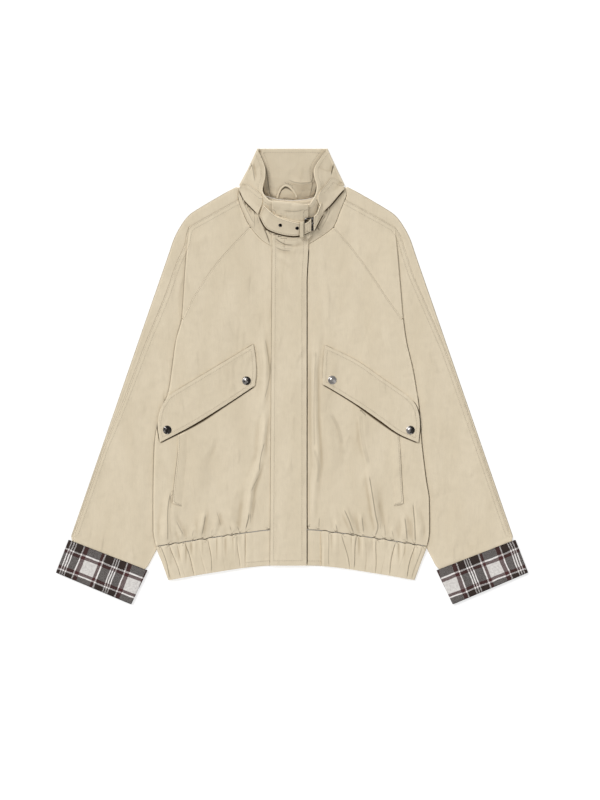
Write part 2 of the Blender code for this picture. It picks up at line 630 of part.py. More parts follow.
def tab(side):
    sign = SIDES[side]
    reach = np.linspace(0.6, TAB_ENDS[side], 6)[None]
    t = np.linspace(0, 1, 5)[:, None]
    upper = follow(HEM_SEAM, "y", reach) - SEAM
    y = upper + (follow(HEM_EDGE, "y", reach) + 0.4 - upper) * t
    return [surface(sign * reach, y, band_z(sign * reach, y, t * 0))]


for side in SIDES:
    sheet(f"hem_tab_{side}", tab(side), DOUBLE)


# ---- the collar: a stiff ring pressed flat; its back lies down, its front rises to the throat -----------------------

COLLAR_TURN = 2.5  # radius of its folds at the two sides
COLLAR_LOW = STAND / 2 + 0.02


def collar_edges(side):
    """Its lower boundary (neck seam, then the fold at the side) and its upper edge, from the centre to the corner."""
    sign = SIDES[side]
    up = np.linspace(306, COLLAR_BACK_Y, 7)
    seam = [(sign * (neck(y, side) - SEAM - 0.3), y) for y in NECK_ROWS]
    seam[0] = (sign * 0.3, NECK_ROWS[0] + 0.8)
    seam[-1] = (sign * (follow(COLLAR_SIDE, side, 306) - COLLAR_TURN), 306)
    rise = [(sign * (follow(COLLAR_SIDE, side, y) - COLLAR_TURN), y) for y in up[1:]]
    lower = np.array(seam + rise, float)
    upper = spline(COLLAR_TOP[side], 40)
    upper[:, 0] = sign * np.maximum(sign * upper[:, 0], 0.3)
    upper[-1] = lower[-1]
    return lower, upper


COLLAR_LINES = {side: collar_edges(side) for side in SIDES}


def collar_z(x, y):
    """Middle of the collar's front: level along the neck seam, rising towards its upper edge."""
    x, y = np.broadcast_arrays(np.asarray(x, float), np.asarray(y, float))
    total = np.zeros(x.shape)
    for side, sign in SIDES.items():
        lower, upper = COLLAR_LINES[side]
        low, near_low = distance(x, y, lower)
        top, near = distance(x, y, upper)
        up = low / (low + top + 1e-6)
        share = np.clip((near[..., 1] - 277) / (COLLAR_BACK_Y - 277), 0, 1)
        lift = COLLAR_LIFT * (1 - ease(share**0.8))
        inside = neck_side(x, y, side)
        total = np.where(side_of(x + 1e-9) == (0 if sign < 0 else 1), COLLAR_FOOT + lift * up**1.35 * inside, total)
    return total


def neck_side(x, y, side):
    """1 on the collar's side of the neck seam, 0 on the body's."""
    reach = np.abs(x)
    edge = np.where(y < 306, neck(np.clip(y, 206.5, 306), side), follow(COLLAR_SIDE, side, y) - 2)
    return ((reach < edge + 0.5) & (y > 206)).astype(float)


def collar():
    patches = []
    rise = np.linspace(306, COLLAR_BACK_Y, 7)
    for side, sign in SIDES.items():
        lower, upper = COLLAR_LINES[side]
        count = len(lower)
        marks = np.concatenate([[0], np.cumsum(np.linalg.norm(np.diff(lower, axis=0), axis=1))])
        at = marks / marks[-1]
        along = np.concatenate([[0], np.cumsum(np.linalg.norm(np.diff(upper, axis=0), axis=1))])
        along = along / along[-1]
        top = np.stack([np.interp(at**0.9, along, upper[:, k]) for k in range(2)], axis=1)
        v = np.linspace(0, 1, 7)[None, :, None]
        grid = lower[:, None] * (1 - v) + top[:, None] * v
        z = collar_z(grid[..., 0], grid[..., 1])
        z[:, 0] = COLLAR_FOOT
        z[-1] = COLLAR_FOOT
        front_patch = np.concatenate([grid, z[..., None]], axis=2)
        start = count - len(rise)
        edge = lower[start:]
        reach, z = arc(np.abs(edge[:, 0]), COLLAR_LOW + 0 * rise, COLLAR_FOOT + 0 * rise, COLLAR_TURN, 1)
        patches += [front_patch, surface(sign * reach, rise[:, None], z)]
    f = np.linspace(-1, 1, 13)[None]
    rows = np.concatenate([[0], rise])[:, None]
    left = COLLAR_LINES["left"][0][-len(rise):, 0]
    right = COLLAR_LINES["right"][0][-len(rise):, 0]
    left, right = (np.concatenate([[abs(e[0])], np.abs(e)])[:, None] for e in (left, right))
    x = np.where(f < 0, f * right, f * left)
    y = np.broadcast_to(rows, x.shape).copy()
    y[0] = follow(NECK_BACK, "y", np.abs(x[0])) + 0.5
    y[1] = np.maximum(306, y[0] + 3)
    y[1, 0] = y[1, -1] = y[0, 0] = y[0, -1] = 306
    return patches + [surface(x, y, COLLAR_LOW)]


sheet("collar", collar(), STAND)


# ---- what lies on the collar and the fronts -------------------------------------------------------------------------


def top_z(x, y):
    """Middle of whatever lies at the neck: the collar on its side of the seam, the fronts on theirs."""
    x, y = np.broadcast_arrays(np.asarray(x, float), np.asarray(y, float))
    on_collar = collar_z(x, y) + (STAND - CLOTH) / 2
    body = front_z(x, y)
    where = np.where(side_of(x) == 0, neck_side(x, y, "right"), neck_side(x, y, "left"))
    return np.where(where > 0.5, on_collar, np.maximum(body, COLLAR_FOOT + (STAND - CLOTH) / 2))


def over(base, thick):
    """Height of the middle of a piece that lies on another whose middle is at base."""
    return base + CLOTH / 2 + GAP + thick / 2


def placket():
    y = np.array([-303.6, -290, -274, -260, -246, -220, -190, -160, -130, -100, -70, -40, -10, 20, 50, 80, 110, 140, 165, 185, 200, 207,
                  214, 222, 231, 240, 249, 258, 266, 272, 279])[:, None]
    share = np.clip((y + 303.6) / 519, 0, 1)
    left, right = -35.2 + 3.6 * share, 23.4 + 2.6 * ease((y - 150) / 60)
    f = np.linspace(0, 1, 8)[None]
    x = left + f * (right - left)
    y = np.broadcast_to(y, x.shape).copy()
    y[-1] = 281.6 - 6.2 * f[0]
    y[-2] = y[-2] + (y[-1] - 279) * 0.5
    z = over(top_z(x, y), 1.6)
    z = np.where(y < -235, over(front_z(x, y), 1.6) + 0.35 + 0.25, z)
    rise = ease((207 - y) / 10)
    z = z * (1 - rise) + rise * (over(front_z(x, y), 1.6) + 0.6 * ease((-225 - y) / 12))
    z = z + 1.2 * ease((y - 208) / 30)
    return [surface(x, y, z)]


sheet("placket", placket(), 1.6)


def coons(top, bottom, start, end, columns, rows):
    """A patch between four curves, each a list of plan points; all meet at the corners."""
    u = np.linspace(0, 1, columns)[:, None]
    v = np.linspace(0, 1, rows)[:, None, None]
    t, b = spline(top, columns), spline(bottom, columns)
    s, e = spline(start, rows)[:, None], spline(end, rows)[:, None]
    ruled = t[None] * (1 - v) + b[None] * v
    sides = s * (1 - u) + e * u
    corners = (t[0] * (1 - u) + t[-1] * u)[None] * (1 - v) + (b[0] * (1 - u) + b[-1] * u)[None] * v
    return ruled + sides - corners


FLAPS = {
    "right": {"top": [(-61.8, 51.8), (-106, 25), (-152, -2.6), (-197.3, -29.9)], "bottom": [(-60, -15), (-105.4, -48), (-160, -80), (-212, -106)],
              "start": [(-61.8, 51.8), (-58.4, 30), (-57.3, 5.3), (-60, -15)],
              "end": [(-197.3, -29.9), (-210, -50), (-215.5, -76), (-212, -106)]},
    "left": {"top": [(52.6, 50.4), (104, 25.1), (146, -4), (188.2, -33.1)], "bottom": [(51.5, -15.5), (104, -47.5), (157.6, -82.4), (203, -106.5)],
             "start": [(52.6, 50.4), (50.4, 28), (49.7, 5.3), (51.5, -15.5)],
             "end": [(188.2, -33.1), (200.6, -50), (205.2, -76), (203, -106.5)]},
}  # fmt: skip
for side, lines in FLAPS.items():
    plan = coons(lines["top"], lines["bottom"], lines["start"], lines["end"], 13, 7)
    x, y = plan[..., 0], plan[..., 1]
    sheet(f"flap_{side}", [surface(x, y, over(front_z(x, y), DOUBLE) + 0.25)], DOUBLE)

WELTS = {
    "right": {"out": [(-182.5, -94.5), (-183.5, -129.1), (-188, -165.9), (-191.4, -203.8)], "in": [(-161.5, -83), (-162, -129), (-166, -172), (-169.8, -212.8)]},
    "left": {"out": [(171, -92.5), (173.3, -117.3), (176, -165.9), (178.6, -204)], "in": [(150, -81), (151, -117), (153.5, -166), (156, -211.2)]},
}  # fmt: skip
for side, lines in WELTS.items():
    outer, inner = spline(lines["out"], 9), spline(lines["in"], 9)
    f = np.linspace(0, 1, 4)[None, :, None]
    plan = outer[:, None] * (1 - f) + inner[:, None] * f
    x, y = plan[..., 0], plan[..., 1]
    sheet(f"welt_{side}", [surface(x, y, over(front_z(x, y), CLOTH) + 0.15)], CLOTH)


# ---- the throat: two pointed carriers, the strap with its under layer, keeper and buckle -----------------------------

WINGS = {
    "right": {"top": [(-82, 309), (-71, 309), (-60.6, 301.9), (-49.1, 292.2)], "bottom": [(-84.6, 299.5), (-77, 284), (-66.5, 272.5), (-54.7, 260.5)],
              "start": [(-82, 309), (-83.6, 304), (-84.6, 299.5)], "end": [(-49.1, 292.2), (-47.8, 279), (-54.7, 260.5)]},
    "left": {"top": [(79, 312.5), (64.3, 318.4), (54.4, 307.7), (46.1, 298.7)], "bottom": [(83.6, 300.5), (73.5, 289.5), (62.5, 276.3), (49.6, 263.7)],
             "start": [(79, 312.5), (82, 306), (83.6, 300.5)], "end": [(46.1, 298.7), (41, 284), (49.6, 263.7)]},
}  # fmt: skip
for side, lines in WINGS.items():
    plan = coons(lines["top"], lines["bottom"], lines["start"], lines["end"], 10, 7)
    x, y = plan[..., 0], plan[..., 1]
    sheet(f"wing_{side}", [surface(x, y, over(top_z(x, y), DOUBLE) + 0.5)], DOUBLE)


def ribbon(top, bottom, count, width_count, height):
    """A strap between two edges, at a height above the collar that follows its length."""
    a, b = spline(top, count), spline(bottom, count)
    f = np.linspace(0, 1, width_count)[None, :, None]
    plan = a[:, None] * (1 - f) + b[:, None] * f
    x, y = plan[..., 0], plan[..., 1]
    rise = height(np.linspace(0, 1, count))[:, None]
    return surface(x, y, top_z(x, y) + rise)


STRAP = 1.6
STRAP_UNDER = 1.3
ON_PLACKET = CLOTH / 2 + GAP + 1.6 + GAP + 1.2  # from the collar's top layer to the underside of what lies on the placket
UNDER_Z = ON_PLACKET + STRAP_UNDER / 2 + 0.3
STRAP_Z = UNDER_Z + STRAP_UNDER / 2 + GAP + STRAP / 2 + 0.2

sheet(
    "strap",
    [ribbon([(-45.2, 272.5), (-34.6, 262.1), (-16.3, 253.3), (1.4, 248.5), (12.2, 245.6), (22, 248), (31, 253.6)],
            [(-51.8, 259.4), (-42, 240.5), (-29.1, 233), (-16.3, 229.3), (-2.1, 226.6), (14, 227), (31, 232.6)],
            17, 5, lambda t: 2.2 + (STRAP_Z - 2.2) * ease(t / 0.17))],
    STRAP,
)  # fmt: skip
sheet(
    "strap_under",
    [ribbon([(-30, 262.6), (-16, 257), (1.4, 252.4), (10, 248.6), (18, 242), (25, 234), (31.5, 226.4)],
            [(-27.5, 240), (-14, 235), (-1, 231.5), (6, 230), (11, 228.5), (16.5, 225.6), (24.6, 218.6)],
            12, 5, lambda t: UNDER_Z + 0 * t)],
    STRAP_UNDER,
)  # fmt: skip
sheet(
    "strap_short",
    [ribbon([(49.2, 281.5), (44.5, 270), (40.6, 258.5), (34.6, 254)], [(52.6, 262.2), (47.6, 250), (42.4, 240), (34.8, 236.6)],
            8, 5, lambda t: 5.2 + (STRAP_Z - 5.2) * ease(t / 0.6))],
    STRAP,
)  # fmt: skip


def keeper():
    """A narrow band round the strap, open underneath."""
    rows = []
    for x, high, low in ((12.4, 246.9, 224.6), (16, 247.7, 224.2), (19.8, 248.9, 224.2)):
        y = np.linspace(high, low, 6)
        crest = top_z(x, y) + STRAP_Z + STRAP / 2 + GAP + 0.7
        drop = np.array([3.2, 2.2, 0.8])
        start = [(x, high + out, crest[0] - d) for out, d in zip((1.9, 1.9, 1.3), drop)]
        end = [(x, low - out, crest[-1] - d) for out, d in zip((1.3, 1.9, 1.9), drop[::-1])]
        rows.append(start + [(x, b, c) for b, c in zip(y, crest)] + end)
    return [np.array(rows)]


sheet("strap_keeper", keeper(), 1.2)


def solid(name, rings, finish, closed=False):
    """A body through rings of points; closed joins the last ring to the first."""
    shape = bmesh.new()
    loops = [[shape.verts.new(np.array(p) * MM) for p in ring] for ring in rings]
    count = len(loops[0])
    pairs = list(zip(loops, loops[1:])) + ([(loops[-1], loops[0])] if closed else [])
    for a, b in pairs:
        for k in range(count):
            m = (k + 1) % count
            shape.faces.new((a[k], a[m], b[m], b[k]))
    if not closed:
        shape.faces.new(loops[0][::-1])
        shape.faces.new(loops[-1])
    bmesh.ops.recalc_face_normals(shape, faces=shape.faces)
    mesh = bpy.data.meshes.new(name)
    shape.to_mesh(mesh)
    shape.free()
    mesh.materials.append(material(finish))
    piece = bpy.data.objects.new(name, mesh)
    bpy.context.scene.collection.objects.link(piece)
    mesh.shade_smooth()


def tube(name, path, radius, finish, sides=8, closed=False, flat=1.0):
    """A rod along a path; flat squashes it in height."""
    path = np.array(path, float)
    if closed:
        runs = np.roll(path, -1, axis=0) - np.roll(path, 1, axis=0)
    else:
        runs = np.gradient(path, axis=0)
    rings = []
    for p, d in zip(path, runs):
        d = d / np.linalg.norm(d)
        across = np.cross(d, (0, 0, 1))
        across = across / np.linalg.norm(across)
        up = np.cross(across, d)
        turn = np.linspace(0, 2 * math.pi, sides, endpoint=False)
        rings.append([p + radius * (math.cos(a) * across + math.sin(a) * flat * up) for a in turn])
    solid(name, rings, finish, closed)


BUCKLE = {"x": 29.3, "y": 244.8, "wide": 16.2, "tall": 23.4, "tilt": math.radians(4), "wire": 1.05}


def on_buckle(dx, dy, height):
    c, s = math.cos(BUCKLE["tilt"]), math.sin(BUCKLE["tilt"])
    return (BUCKLE["x"] + c * dx - s * dy, BUCKLE["y"] + s * dx + c * dy, height)


buckle_z = float(top_z(BUCKLE["x"], BUCKLE["y"])) + STRAP_Z + STRAP / 2 + GAP + BUCKLE["wire"] + 2.4
turn = np.linspace(0, 2 * math.pi, 24, endpoint=False)
corner = 0.28  # exponent of a rounded rectangle
slope = (float(top_z(33, 256)) - float(top_z(33, 234))) / 22
frame = [
    on_buckle(
        BUCKLE["wide"] / 2 * abs(math.cos(a)) ** corner * math.copysign(1, math.cos(a)),
        dy := BUCKLE["tall"] / 2 * abs(math.sin(a)) ** corner * math.copysign(1, math.sin(a)),
        buckle_z + slope * dy,
    )
    for a in turn
]
tube("buckle_frame", frame, BUCKLE["wire"], METAL, closed=True)
prong = [on_buckle(dx, -0.6, buckle_z + 2.3 + lift) for dx, lift in ((8.4, 0), (4, 0.3), (-1, 0.3), (-6, 0.1), (-9.6, 0))]
tube("buckle_prong", prong, 0.85, METAL, sides=7)

EYELETS = ((-18.6, 241.4), (6.6, 236.6))
for number, (x, y) in enumerate(EYELETS, 1):
    z = float(top_z(x, y)) + STRAP_Z + STRAP / 2 + GAP + 0.6
    ring = [(x + 2.2 * math.cos(a), y + 2.2 * math.sin(a), z + 0.35 * math.sin(a) * slope * 6) for a in np.linspace(0, 2 * math.pi, 14, endpoint=False)]
    tube(f"eyelet_{number}", ring, 0.9, METAL, sides=6, closed=True, flat=0.6)

SNAPS = {"right_inner": (-73.1, -7), "right_outer": (-200.2, -85.9), "left_inner": (64.5, -5.9), "left_outer": (189.9, -86.2)}
SNAP_PROFILE = ((6.5, 0), (6.5, 0.5), (5.9, 1.1), (4.6, 1.9), (2.6, 2.5), (0.6, 2.7))
for name, (x, y) in SNAPS.items():
    foot = float(front_z(x, y)) + CLOTH / 2 + GAP + DOUBLE + GAP + 0.4
    turn = np.linspace(0, 2 * math.pi, 12, endpoint=False)
    solid(f"snap_{name}", [[(x + r * math.cos(a), y + r * math.sin(a), foot + h) for a in turn] for r, h in SNAP_PROFILE], METAL)

# The hanger loop lies on the inside of the collar's back.
LOOP_Z = STAND + GAP + 1.0
loop = spline([(-23.7, 288.5, LOOP_Z), (-18.9, 297.8, LOOP_Z + 0.5), (-12.8, 306.2, LOOP_Z + 0.8), (-6.1, 303, LOOP_Z + 0.8), (2.6, 293.4, LOOP_Z + 0.5), (7, 288, LOOP_Z)], 18)  # fmt: skip
tube("hanger_loop", loop, 1.25, TWILL_INSIDE, sides=8, flat=0.7)
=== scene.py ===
import math

import bmesh
import bpy
import numpy as np
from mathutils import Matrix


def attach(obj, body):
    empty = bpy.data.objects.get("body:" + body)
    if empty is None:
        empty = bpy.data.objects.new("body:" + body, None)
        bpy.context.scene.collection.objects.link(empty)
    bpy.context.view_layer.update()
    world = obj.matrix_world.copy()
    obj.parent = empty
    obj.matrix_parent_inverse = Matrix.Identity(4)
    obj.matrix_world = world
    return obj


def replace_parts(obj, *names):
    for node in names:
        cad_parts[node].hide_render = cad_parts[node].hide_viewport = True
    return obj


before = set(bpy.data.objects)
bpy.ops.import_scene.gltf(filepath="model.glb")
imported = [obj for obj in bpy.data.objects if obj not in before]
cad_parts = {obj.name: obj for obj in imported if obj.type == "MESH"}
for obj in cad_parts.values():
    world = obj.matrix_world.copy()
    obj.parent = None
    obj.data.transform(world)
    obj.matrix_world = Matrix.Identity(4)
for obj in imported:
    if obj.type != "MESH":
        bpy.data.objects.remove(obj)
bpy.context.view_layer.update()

# ---- Table, light and camera -----------------------------------------------------------------------------
# The jacket lies on a large white board, front up, under a white ceiling and one broad soft light from the
# upper left. The camera hangs straight above it.

MM = 0.001
LENS, SENSOR = 85, 36  # millimetres
CAMERA_HEIGHT = 1.28 * LENS / SENSOR + 0.008


def placed(name, data):
    """A new object in the scene."""
    made = bpy.data.objects.new(name, data)
    bpy.context.scene.collection.objects.link(made)
    return made


def settings(node, **values):
    for name, value in values.items():
        node.inputs[name.replace("_", " ")].default_value = value


board = bpy.data.meshes.new("board")
board.from_pydata([(-4, -4, 0), (4, -4, 0), (4, 4, 0), (-4, 4, 0)], [], [(0, 1, 2, 3)])
white = bpy.data.materials.new("White board")
white.use_nodes = True
settings(
    white.node_tree.nodes["Principled BSDF"],
    Base_Color=(0.52, 0.52, 0.52, 1), Roughness=0.9, Emission_Color=(1, 1, 1, 1), Emission_Strength=0.58,
)
board.materials.append(white)
floor = placed("floor", board)

room = bpy.data.worlds.new("Room")
bpy.context.scene.world = room
room.use_nodes = True
settings(room.node_tree.nodes["Background"], Color=(1.0, 0.995, 0.985, 1), Strength=0.46)
for name, strength, spread, tilt, turn in (("Window", 1.75, 24, 38, 138), ("Fill", 0.4, 50, 38, -30)):
    lamp = bpy.data.lights.new(name, "SUN")
    lamp.energy, lamp.angle = strength, math.radians(spread)
    placed(name, lamp).rotation_euler = (0, math.radians(tilt), math.radians(turn))
lens = bpy.data.cameras.new("Camera")
lens.lens, lens.sensor_width = LENS, SENSOR
camera = placed("Camera", lens)
camera.location = (0.0128, -0.0379, CAMERA_HEIGHT)
bpy.context.scene.camera = camera
bpy.context.scene.view_settings.view_transform = "Standard"

# ---- The cloth itself ------------------------------------------------------------------------------------
# Light stone cotton twill, washed once: steep fine wales, slightly mottled dye and paler where edges rub.
# As painted light its ridges are paler; as painted shade it is darker down in the creases, along the rows of
# stitches, in the needle holes and under free edges.


class Wire:
    """One value in a material; arithmetic on it adds Math nodes."""

    def __init__(self, look, socket):
        self.look, self.socket = look, socket

    def sum(self, how, *others):
        return self.look.node("ShaderNodeMath", {"operation": how}, dict(enumerate(others)))

    def __rsub__(self, other):
        return self.sum("SUBTRACT", other, self)

    def __abs__(self):
        return self.sum("ABSOLUTE", self)

    def wave(self):
        return self.sum("SINE", self)

    def between(self, low, high):
        """0 at low and 1 at high, with soft ends."""
        return self.look.node(
            "ShaderNodeMapRange", {"interpolation_type": "SMOOTHSTEP"},
            {"Value": self, "From Min": low, "From Max": high},
        )


for sign, how in {
    "add": "ADD", "radd": "ADD", "sub": "SUBTRACT", "mul": "MULTIPLY", "truediv": "DIVIDE",
    "mod": "FLOORED_MODULO",
}.items():
    setattr(Wire, f"__{sign}__", lambda self, other, how=how: self.sum(how, self, other))


class Look:
    """A material: its fixed shader values, then nodes by type, settings and sockets."""

    def __init__(self, name, **fixed):
        self.material = bpy.data.materials.new(name)
        self.material.use_nodes = True
        self.tree = self.material.node_tree
        self.shader = self.tree.nodes["Principled BSDF"]
        settings(self.shader, **fixed)

    def node(self, kind, settings={}, sockets={}, out=0):
        made = self.tree.nodes.new(kind)
        for key, value in settings.items():
            if key == "stops":
                while len(made.color_ramp.elements) < len(value):
                    made.color_ramp.elements.new(1)
                for stop, (at, colour) in zip(made.color_ramp.elements, value):
                    stop.position, stop.color = at, (*colour, 1)
            elif key == "steps":
                made.color_ramp.interpolation = value
            else:
                setattr(made, key, value)
        for key, value in sockets.items():
            self.put(made.inputs[key], value)
        return Wire(self, made.outputs[out])

    def put(self, socket, value):
        if isinstance(value, Wire):
            self.tree.links.new(value.socket, socket)
        else:
            socket.default_value = value

    def finish(self, **values):
        for name, value in values.items():
            self.put(self.shader.inputs[name.replace("_", " ")], value)
        return self

    def place(self):
        """Where a point is on the laid jacket, in millimetres, and the same as a vector."""
        spot = self.node(
            "ShaderNodeVectorMath", {"operation": "SCALE"},
            {0: self.node("ShaderNodeTexCoord", out="Object"), "Scale": 1000.0},
        )
        parts = self.tree.nodes.new("ShaderNodeSeparateXYZ")
        self.put(parts.inputs[0], spot)
        return spot, *(Wire(self, parts.outputs[k]) for k in range(3))

    def noise(self, spot, size, detail=2.0):
        return self.node(
            "ShaderNodeTexNoise", {"noise_dimensions": "3D"},
            {"Vector": spot, "Scale": 1 / size, "Detail": detail},
        )

    def stretched(self, spot, ways):
        """The same place, drawn out to give a grain a direction."""
        return self.node("ShaderNodeVectorMath", {"operation": "MULTIPLY"}, {0: spot, 1: ways})

    def mark(self, name):
        return self.node("ShaderNodeAttribute", {"attribute_name": name}, {}, "Fac")

    def mix(self, share, a, b, how="MIX"):
        made = self.tree.nodes.new("ShaderNodeMix")
        made.data_type, made.blend_type = "RGBA", how
        for socket, value in zip((made.inputs[0], made.inputs[6], made.inputs[7]), (share, a, b)):
            self.put(socket, (*value, 1) if isinstance(value, tuple) else value)
        return Wire(self, made.outputs[2])

    def coats(self, colour, *coats):
        """Colours laid over the first; each coat is its share, its colour and how it mixes."""
        for share, tint, *how in coats:
            colour = self.mix(share, colour, tint, *how)
        return colour

    def bump(self, height):
        return self.node(
            "ShaderNodeBump", {}, {"Height": height, "Distance": MM, "Strength": 1.0}, "Normal",
        )


WALE, HEAVY_WALE, STITCH = 0.85, 0.9, 2.8  # pitches in millimetres


def tinted(colour, by):
    return tuple(np.minimum(1, np.multiply(colour, by)))


def twill(name, pale, deep, rub, top_shade=0.0):
    look = Look(name, Roughness=0.85, Sheen_Weight=0.04, Sheen_Roughness=0.5, Specular_IOR_Level=0.15)
    spot, x, y, z = look.place()
    row, run, hollow, rim, line, dark = (
        look.mark(name) for name in ("row", "run", "hollow", "rim", "line", "dark")
    )
    wale = ((x * 0.89 + y * 0.45 + z * 0.7) * (2 * math.pi / WALE)).wave()
    yarn, slub = look.noise(spot, 0.7), look.noise(look.stretched(spot, (1.0, 0.13, 1.0)), 2.0, 3.0)
    # Fine sharp wrinkles left from folding, longer up the garment than across it.
    long = look.stretched(spot, (1.0, 0.32, 1.0))
    dye, cloud = look.noise(long, 38, 3.0), look.noise(spot, 11, 4.0)
    wrinkle = (
        (1 - abs(look.noise(long, 24, 1.0) - 0.5).between(0.0, 0.13))
        * look.noise(spot, 42, 2.0).between(0.42, 0.68)
    )
    groove = 1 - abs(row).between(0.15, 1.0)
    pull = (1 - abs(row).between(0.6, 5.5)) * look.noise(spot, 2.6, 1.0)
    # Each stitch has a thread on top and a needle hole at its end, painted dark as the shade in it.
    step = run / STITCH % 1.0
    thread = (1 - abs(row).between(0.15, 0.4)) * step.between(0.08, 0.2) * (1 - step.between(0.68, 0.8))
    hole = (1 - abs(row).between(0.2, 0.55)) - thread
    # Painted shadow: the darkest places are under a free edge.
    shade = (1 - abs(line).between(0.5, 1.15)) * dark
    # Painted shade: darker in the creases, in the fine wrinkles and in the stitch grooves.
    crease = hollow.between(0.0, 1.0) * 0.5 + groove * 0.1 + wrinkle * 0.04
    # Edges rubbed paler, and ridges made paler as painted light.
    wear_and_painted_light = rim.between(0.1, 0.7) * yarn.between(0.2, 0.4) * rub + (0 - hollow).between(0.1, 1.0) * 0.3
    colour = look.coats(
        look.mix(dye.between(0.3, 0.7), pale, deep),
        (cloud.between(0.35, 0.75) * 0.3, tinted(deep, 0.9)),
        (slub.between(0.4, 0.8) * 0.14 + wale * 0.06 + yarn * 0.08, tinted(deep, 0.72)),
        # Painted shade: darker towards the collar's upper edge.
        *([(y.between(255, 325) * top_shade, tinted(deep, 0.78))] if top_shade else []),
        (crease, tinted(deep, (0.50, 0.43, 0.33))),
        (wear_and_painted_light, tinted(pale, 1.2)),
        (hole.between(0, 1) * 0.55, tinted(deep, 0.4)),
        (thread * 0.6, tinted(pale, 1.12)),
        (shade * 0.97, (0.05, 0.028, 0.008)),
    )
    height = (
        wale * 0.012 + yarn * 0.05 + slub * 0.08 + cloud * 0.6 + wrinkle * 0.9 - groove * 0.2 - shade * 0.4
        + pull * 0.6 + thread * 0.2
    )
    return look.finish(
        Base_Color=colour, Roughness=0.78 + yarn * 0.12 + groove * 0.05, Normal=look.bump(height),
    )


STONE = ((0.735, 0.640, 0.485), (0.690, 0.596, 0.443))  # where the dye is pale, and where it is deep
outside = twill("Stone cotton twill", *STONE, 0.8)
# A copy for the collar and the pieces on it, darkened towards the top as painted shade.
collared = twill("Stone cotton twill of the collar", *STONE, 0.9, 0.28)
# A darker copy of the twill; only the strap keeper wears it, as painted shade.
inside = twill("Stone twill, inner side", (0.65, 0.565, 0.42), (0.61, 0.53, 0.39), 0.8)

# ---- The back --------------------------------------------------------------------------------------------
# One panel of twill with raglan armholes, flat on the board down the middle. At its sides it passes over
# the tucked sleeves, and its neckline is sewn to the collar.

# Millimetres: one layer, two, the collar, and the space between layers and at seams.
CLOTH, DOUBLE, STAND, GAP, SEAM = 1.2, 1.8, 2.4, 0.35, 0.3
FLOOR, TURN, SLEEVE_TURN, BAND_TURN = CLOTH / 2, 1.0, 1.4, 2.2  # the lowest layer; radii of the folds
SIDES = {"right": -1, "left": 1}
STEP = 2.6  # the usual distance between points


def drawn(text):
    """Points, or rows of other figures, parted by commas."""
    return [tuple(float(v) for v in row.split()) for row in text.split(",")]


def curves(text):
    """Lines parted by semicolons: the points of each, then after a colon its other figures."""
    rows = (row.split(":") for row in text.split(";"))
    return [(drawn(points), *(float(v) for v in figures.split())) for points, figures in rows]


def drawn_all(**texts):
    return {name: drawn(text) for name, text in texts.items()}


def table(names, text):
    return dict(zip(names.split(), np.array(sorted(drawn(text))).T))


def follow(sheet, name, at):
    """A smooth line through one column of a table, with no overshoot."""
    xs, ys = sheet[next(iter(sheet))], sheet[name]
    steps = np.diff(xs)
    slopes = np.diff(ys) / steps
    inner = np.where(
        slopes[1:] * slopes[:-1] > 0, 2 * slopes[1:] * slopes[:-1] / (slopes[1:] + slopes[:-1] + 1e-12), 0,
    )
    tangents = np.concatenate([slopes[:1], inner, slopes[-1:]])
    at = np.asarray(at, float)
    i = np.clip(np.searchsorted(xs, at) - 1, 0, len(xs) - 2)
    h = steps[i]
    t = (np.clip(at, xs[0], xs[-1]) - xs[i]) / h
    return (
        ys[i] * (1 + 2 * t) * (1 - t) ** 2 + ys[i + 1] * t * t * (3 - 2 * t)
        + tangents[i] * h * t * (1 - t) ** 2 - tangents[i + 1] * h * t * t * (1 - t)
    )


def ease(t):
    t = np.clip(t, 0, 1)
    return t * t * (3 - 2 * t)


def dense(rows, step=3.0):
    """The given rows with evenly spaced ones between them."""
    parts = [
        np.linspace(a, b, max(1, round(abs(b - a) / step)), endpoint=False) for a, b in zip(rows, rows[1:])
    ]
    return np.concatenate(parts + [[rows[-1]]])


def across(length, step=3.0, hem=1.4):
    """Shares of a width, with a narrow column along each edge where the cloth rolls over."""
    return np.concatenate(
        [[0], np.linspace(hem / length, 1 - hem / length, max(2, round(length / step))), [1]]
    )


def surface(x, y, z):
    return np.stack(np.broadcast_arrays(x, y, z), axis=-1)


def plan(x, y):
    """Plan coordinates as two arrays of one shape."""
    return np.broadcast_arrays(np.asarray(x, float), np.asarray(y, float))


def rays(start, end, shares):
    """Rows of values that run from each start to its end."""
    return start[:, None] + shares * (end - start)[:, None]


def between(a, b, shares):
    """Plan coordinates of rows of points from one line to another."""
    f = shares[None, :, None]
    return np.moveaxis(a[:, None] * (1 - f) + b[:, None] * f, 2, 0)


def unit(way):
    return way / np.linalg.norm(way, axis=-1, keepdims=True)


def lengths(line):
    """How far along a line each of its points is."""
    return np.concatenate([[0], np.cumsum(np.linalg.norm(np.diff(line, axis=0), axis=1))])


def distance(x, y, line):
    """Distance from plan points to a line, the nearest point on it, 1 or -1 for the left or right of it,
    and how far along it that is."""
    x, y = plan(x, y)
    p = np.stack([np.ravel(x), np.ravel(y)], axis=1)[:, None, :]
    a, b = line[None, :-1, :2], line[None, 1:, :2]
    t = np.clip(((p - a) * (b - a)).sum(2) / ((b - a) ** 2).sum(2), 0, 1)
    away = np.linalg.norm(p - a - t[..., None] * (b - a), axis=2)
    i = away.argmin(1)
    run, t = line[i + 1] - line[i], t[np.arange(len(i)), i]
    near, at = line[i] + t[:, None] * run, lengths(line[:, :2])
    left = np.sign(run[:, 0] * (np.ravel(y) - line[i, 1]) - run[:, 1] * (np.ravel(x) - line[i, 0]))
    along = at[i] + t * (at[i + 1] - at[i])
    return (
        away.min(1).reshape(x.shape), near.reshape(x.shape + (line.shape[1],)), left.reshape(x.shape),
        along.reshape(x.shape)
    )


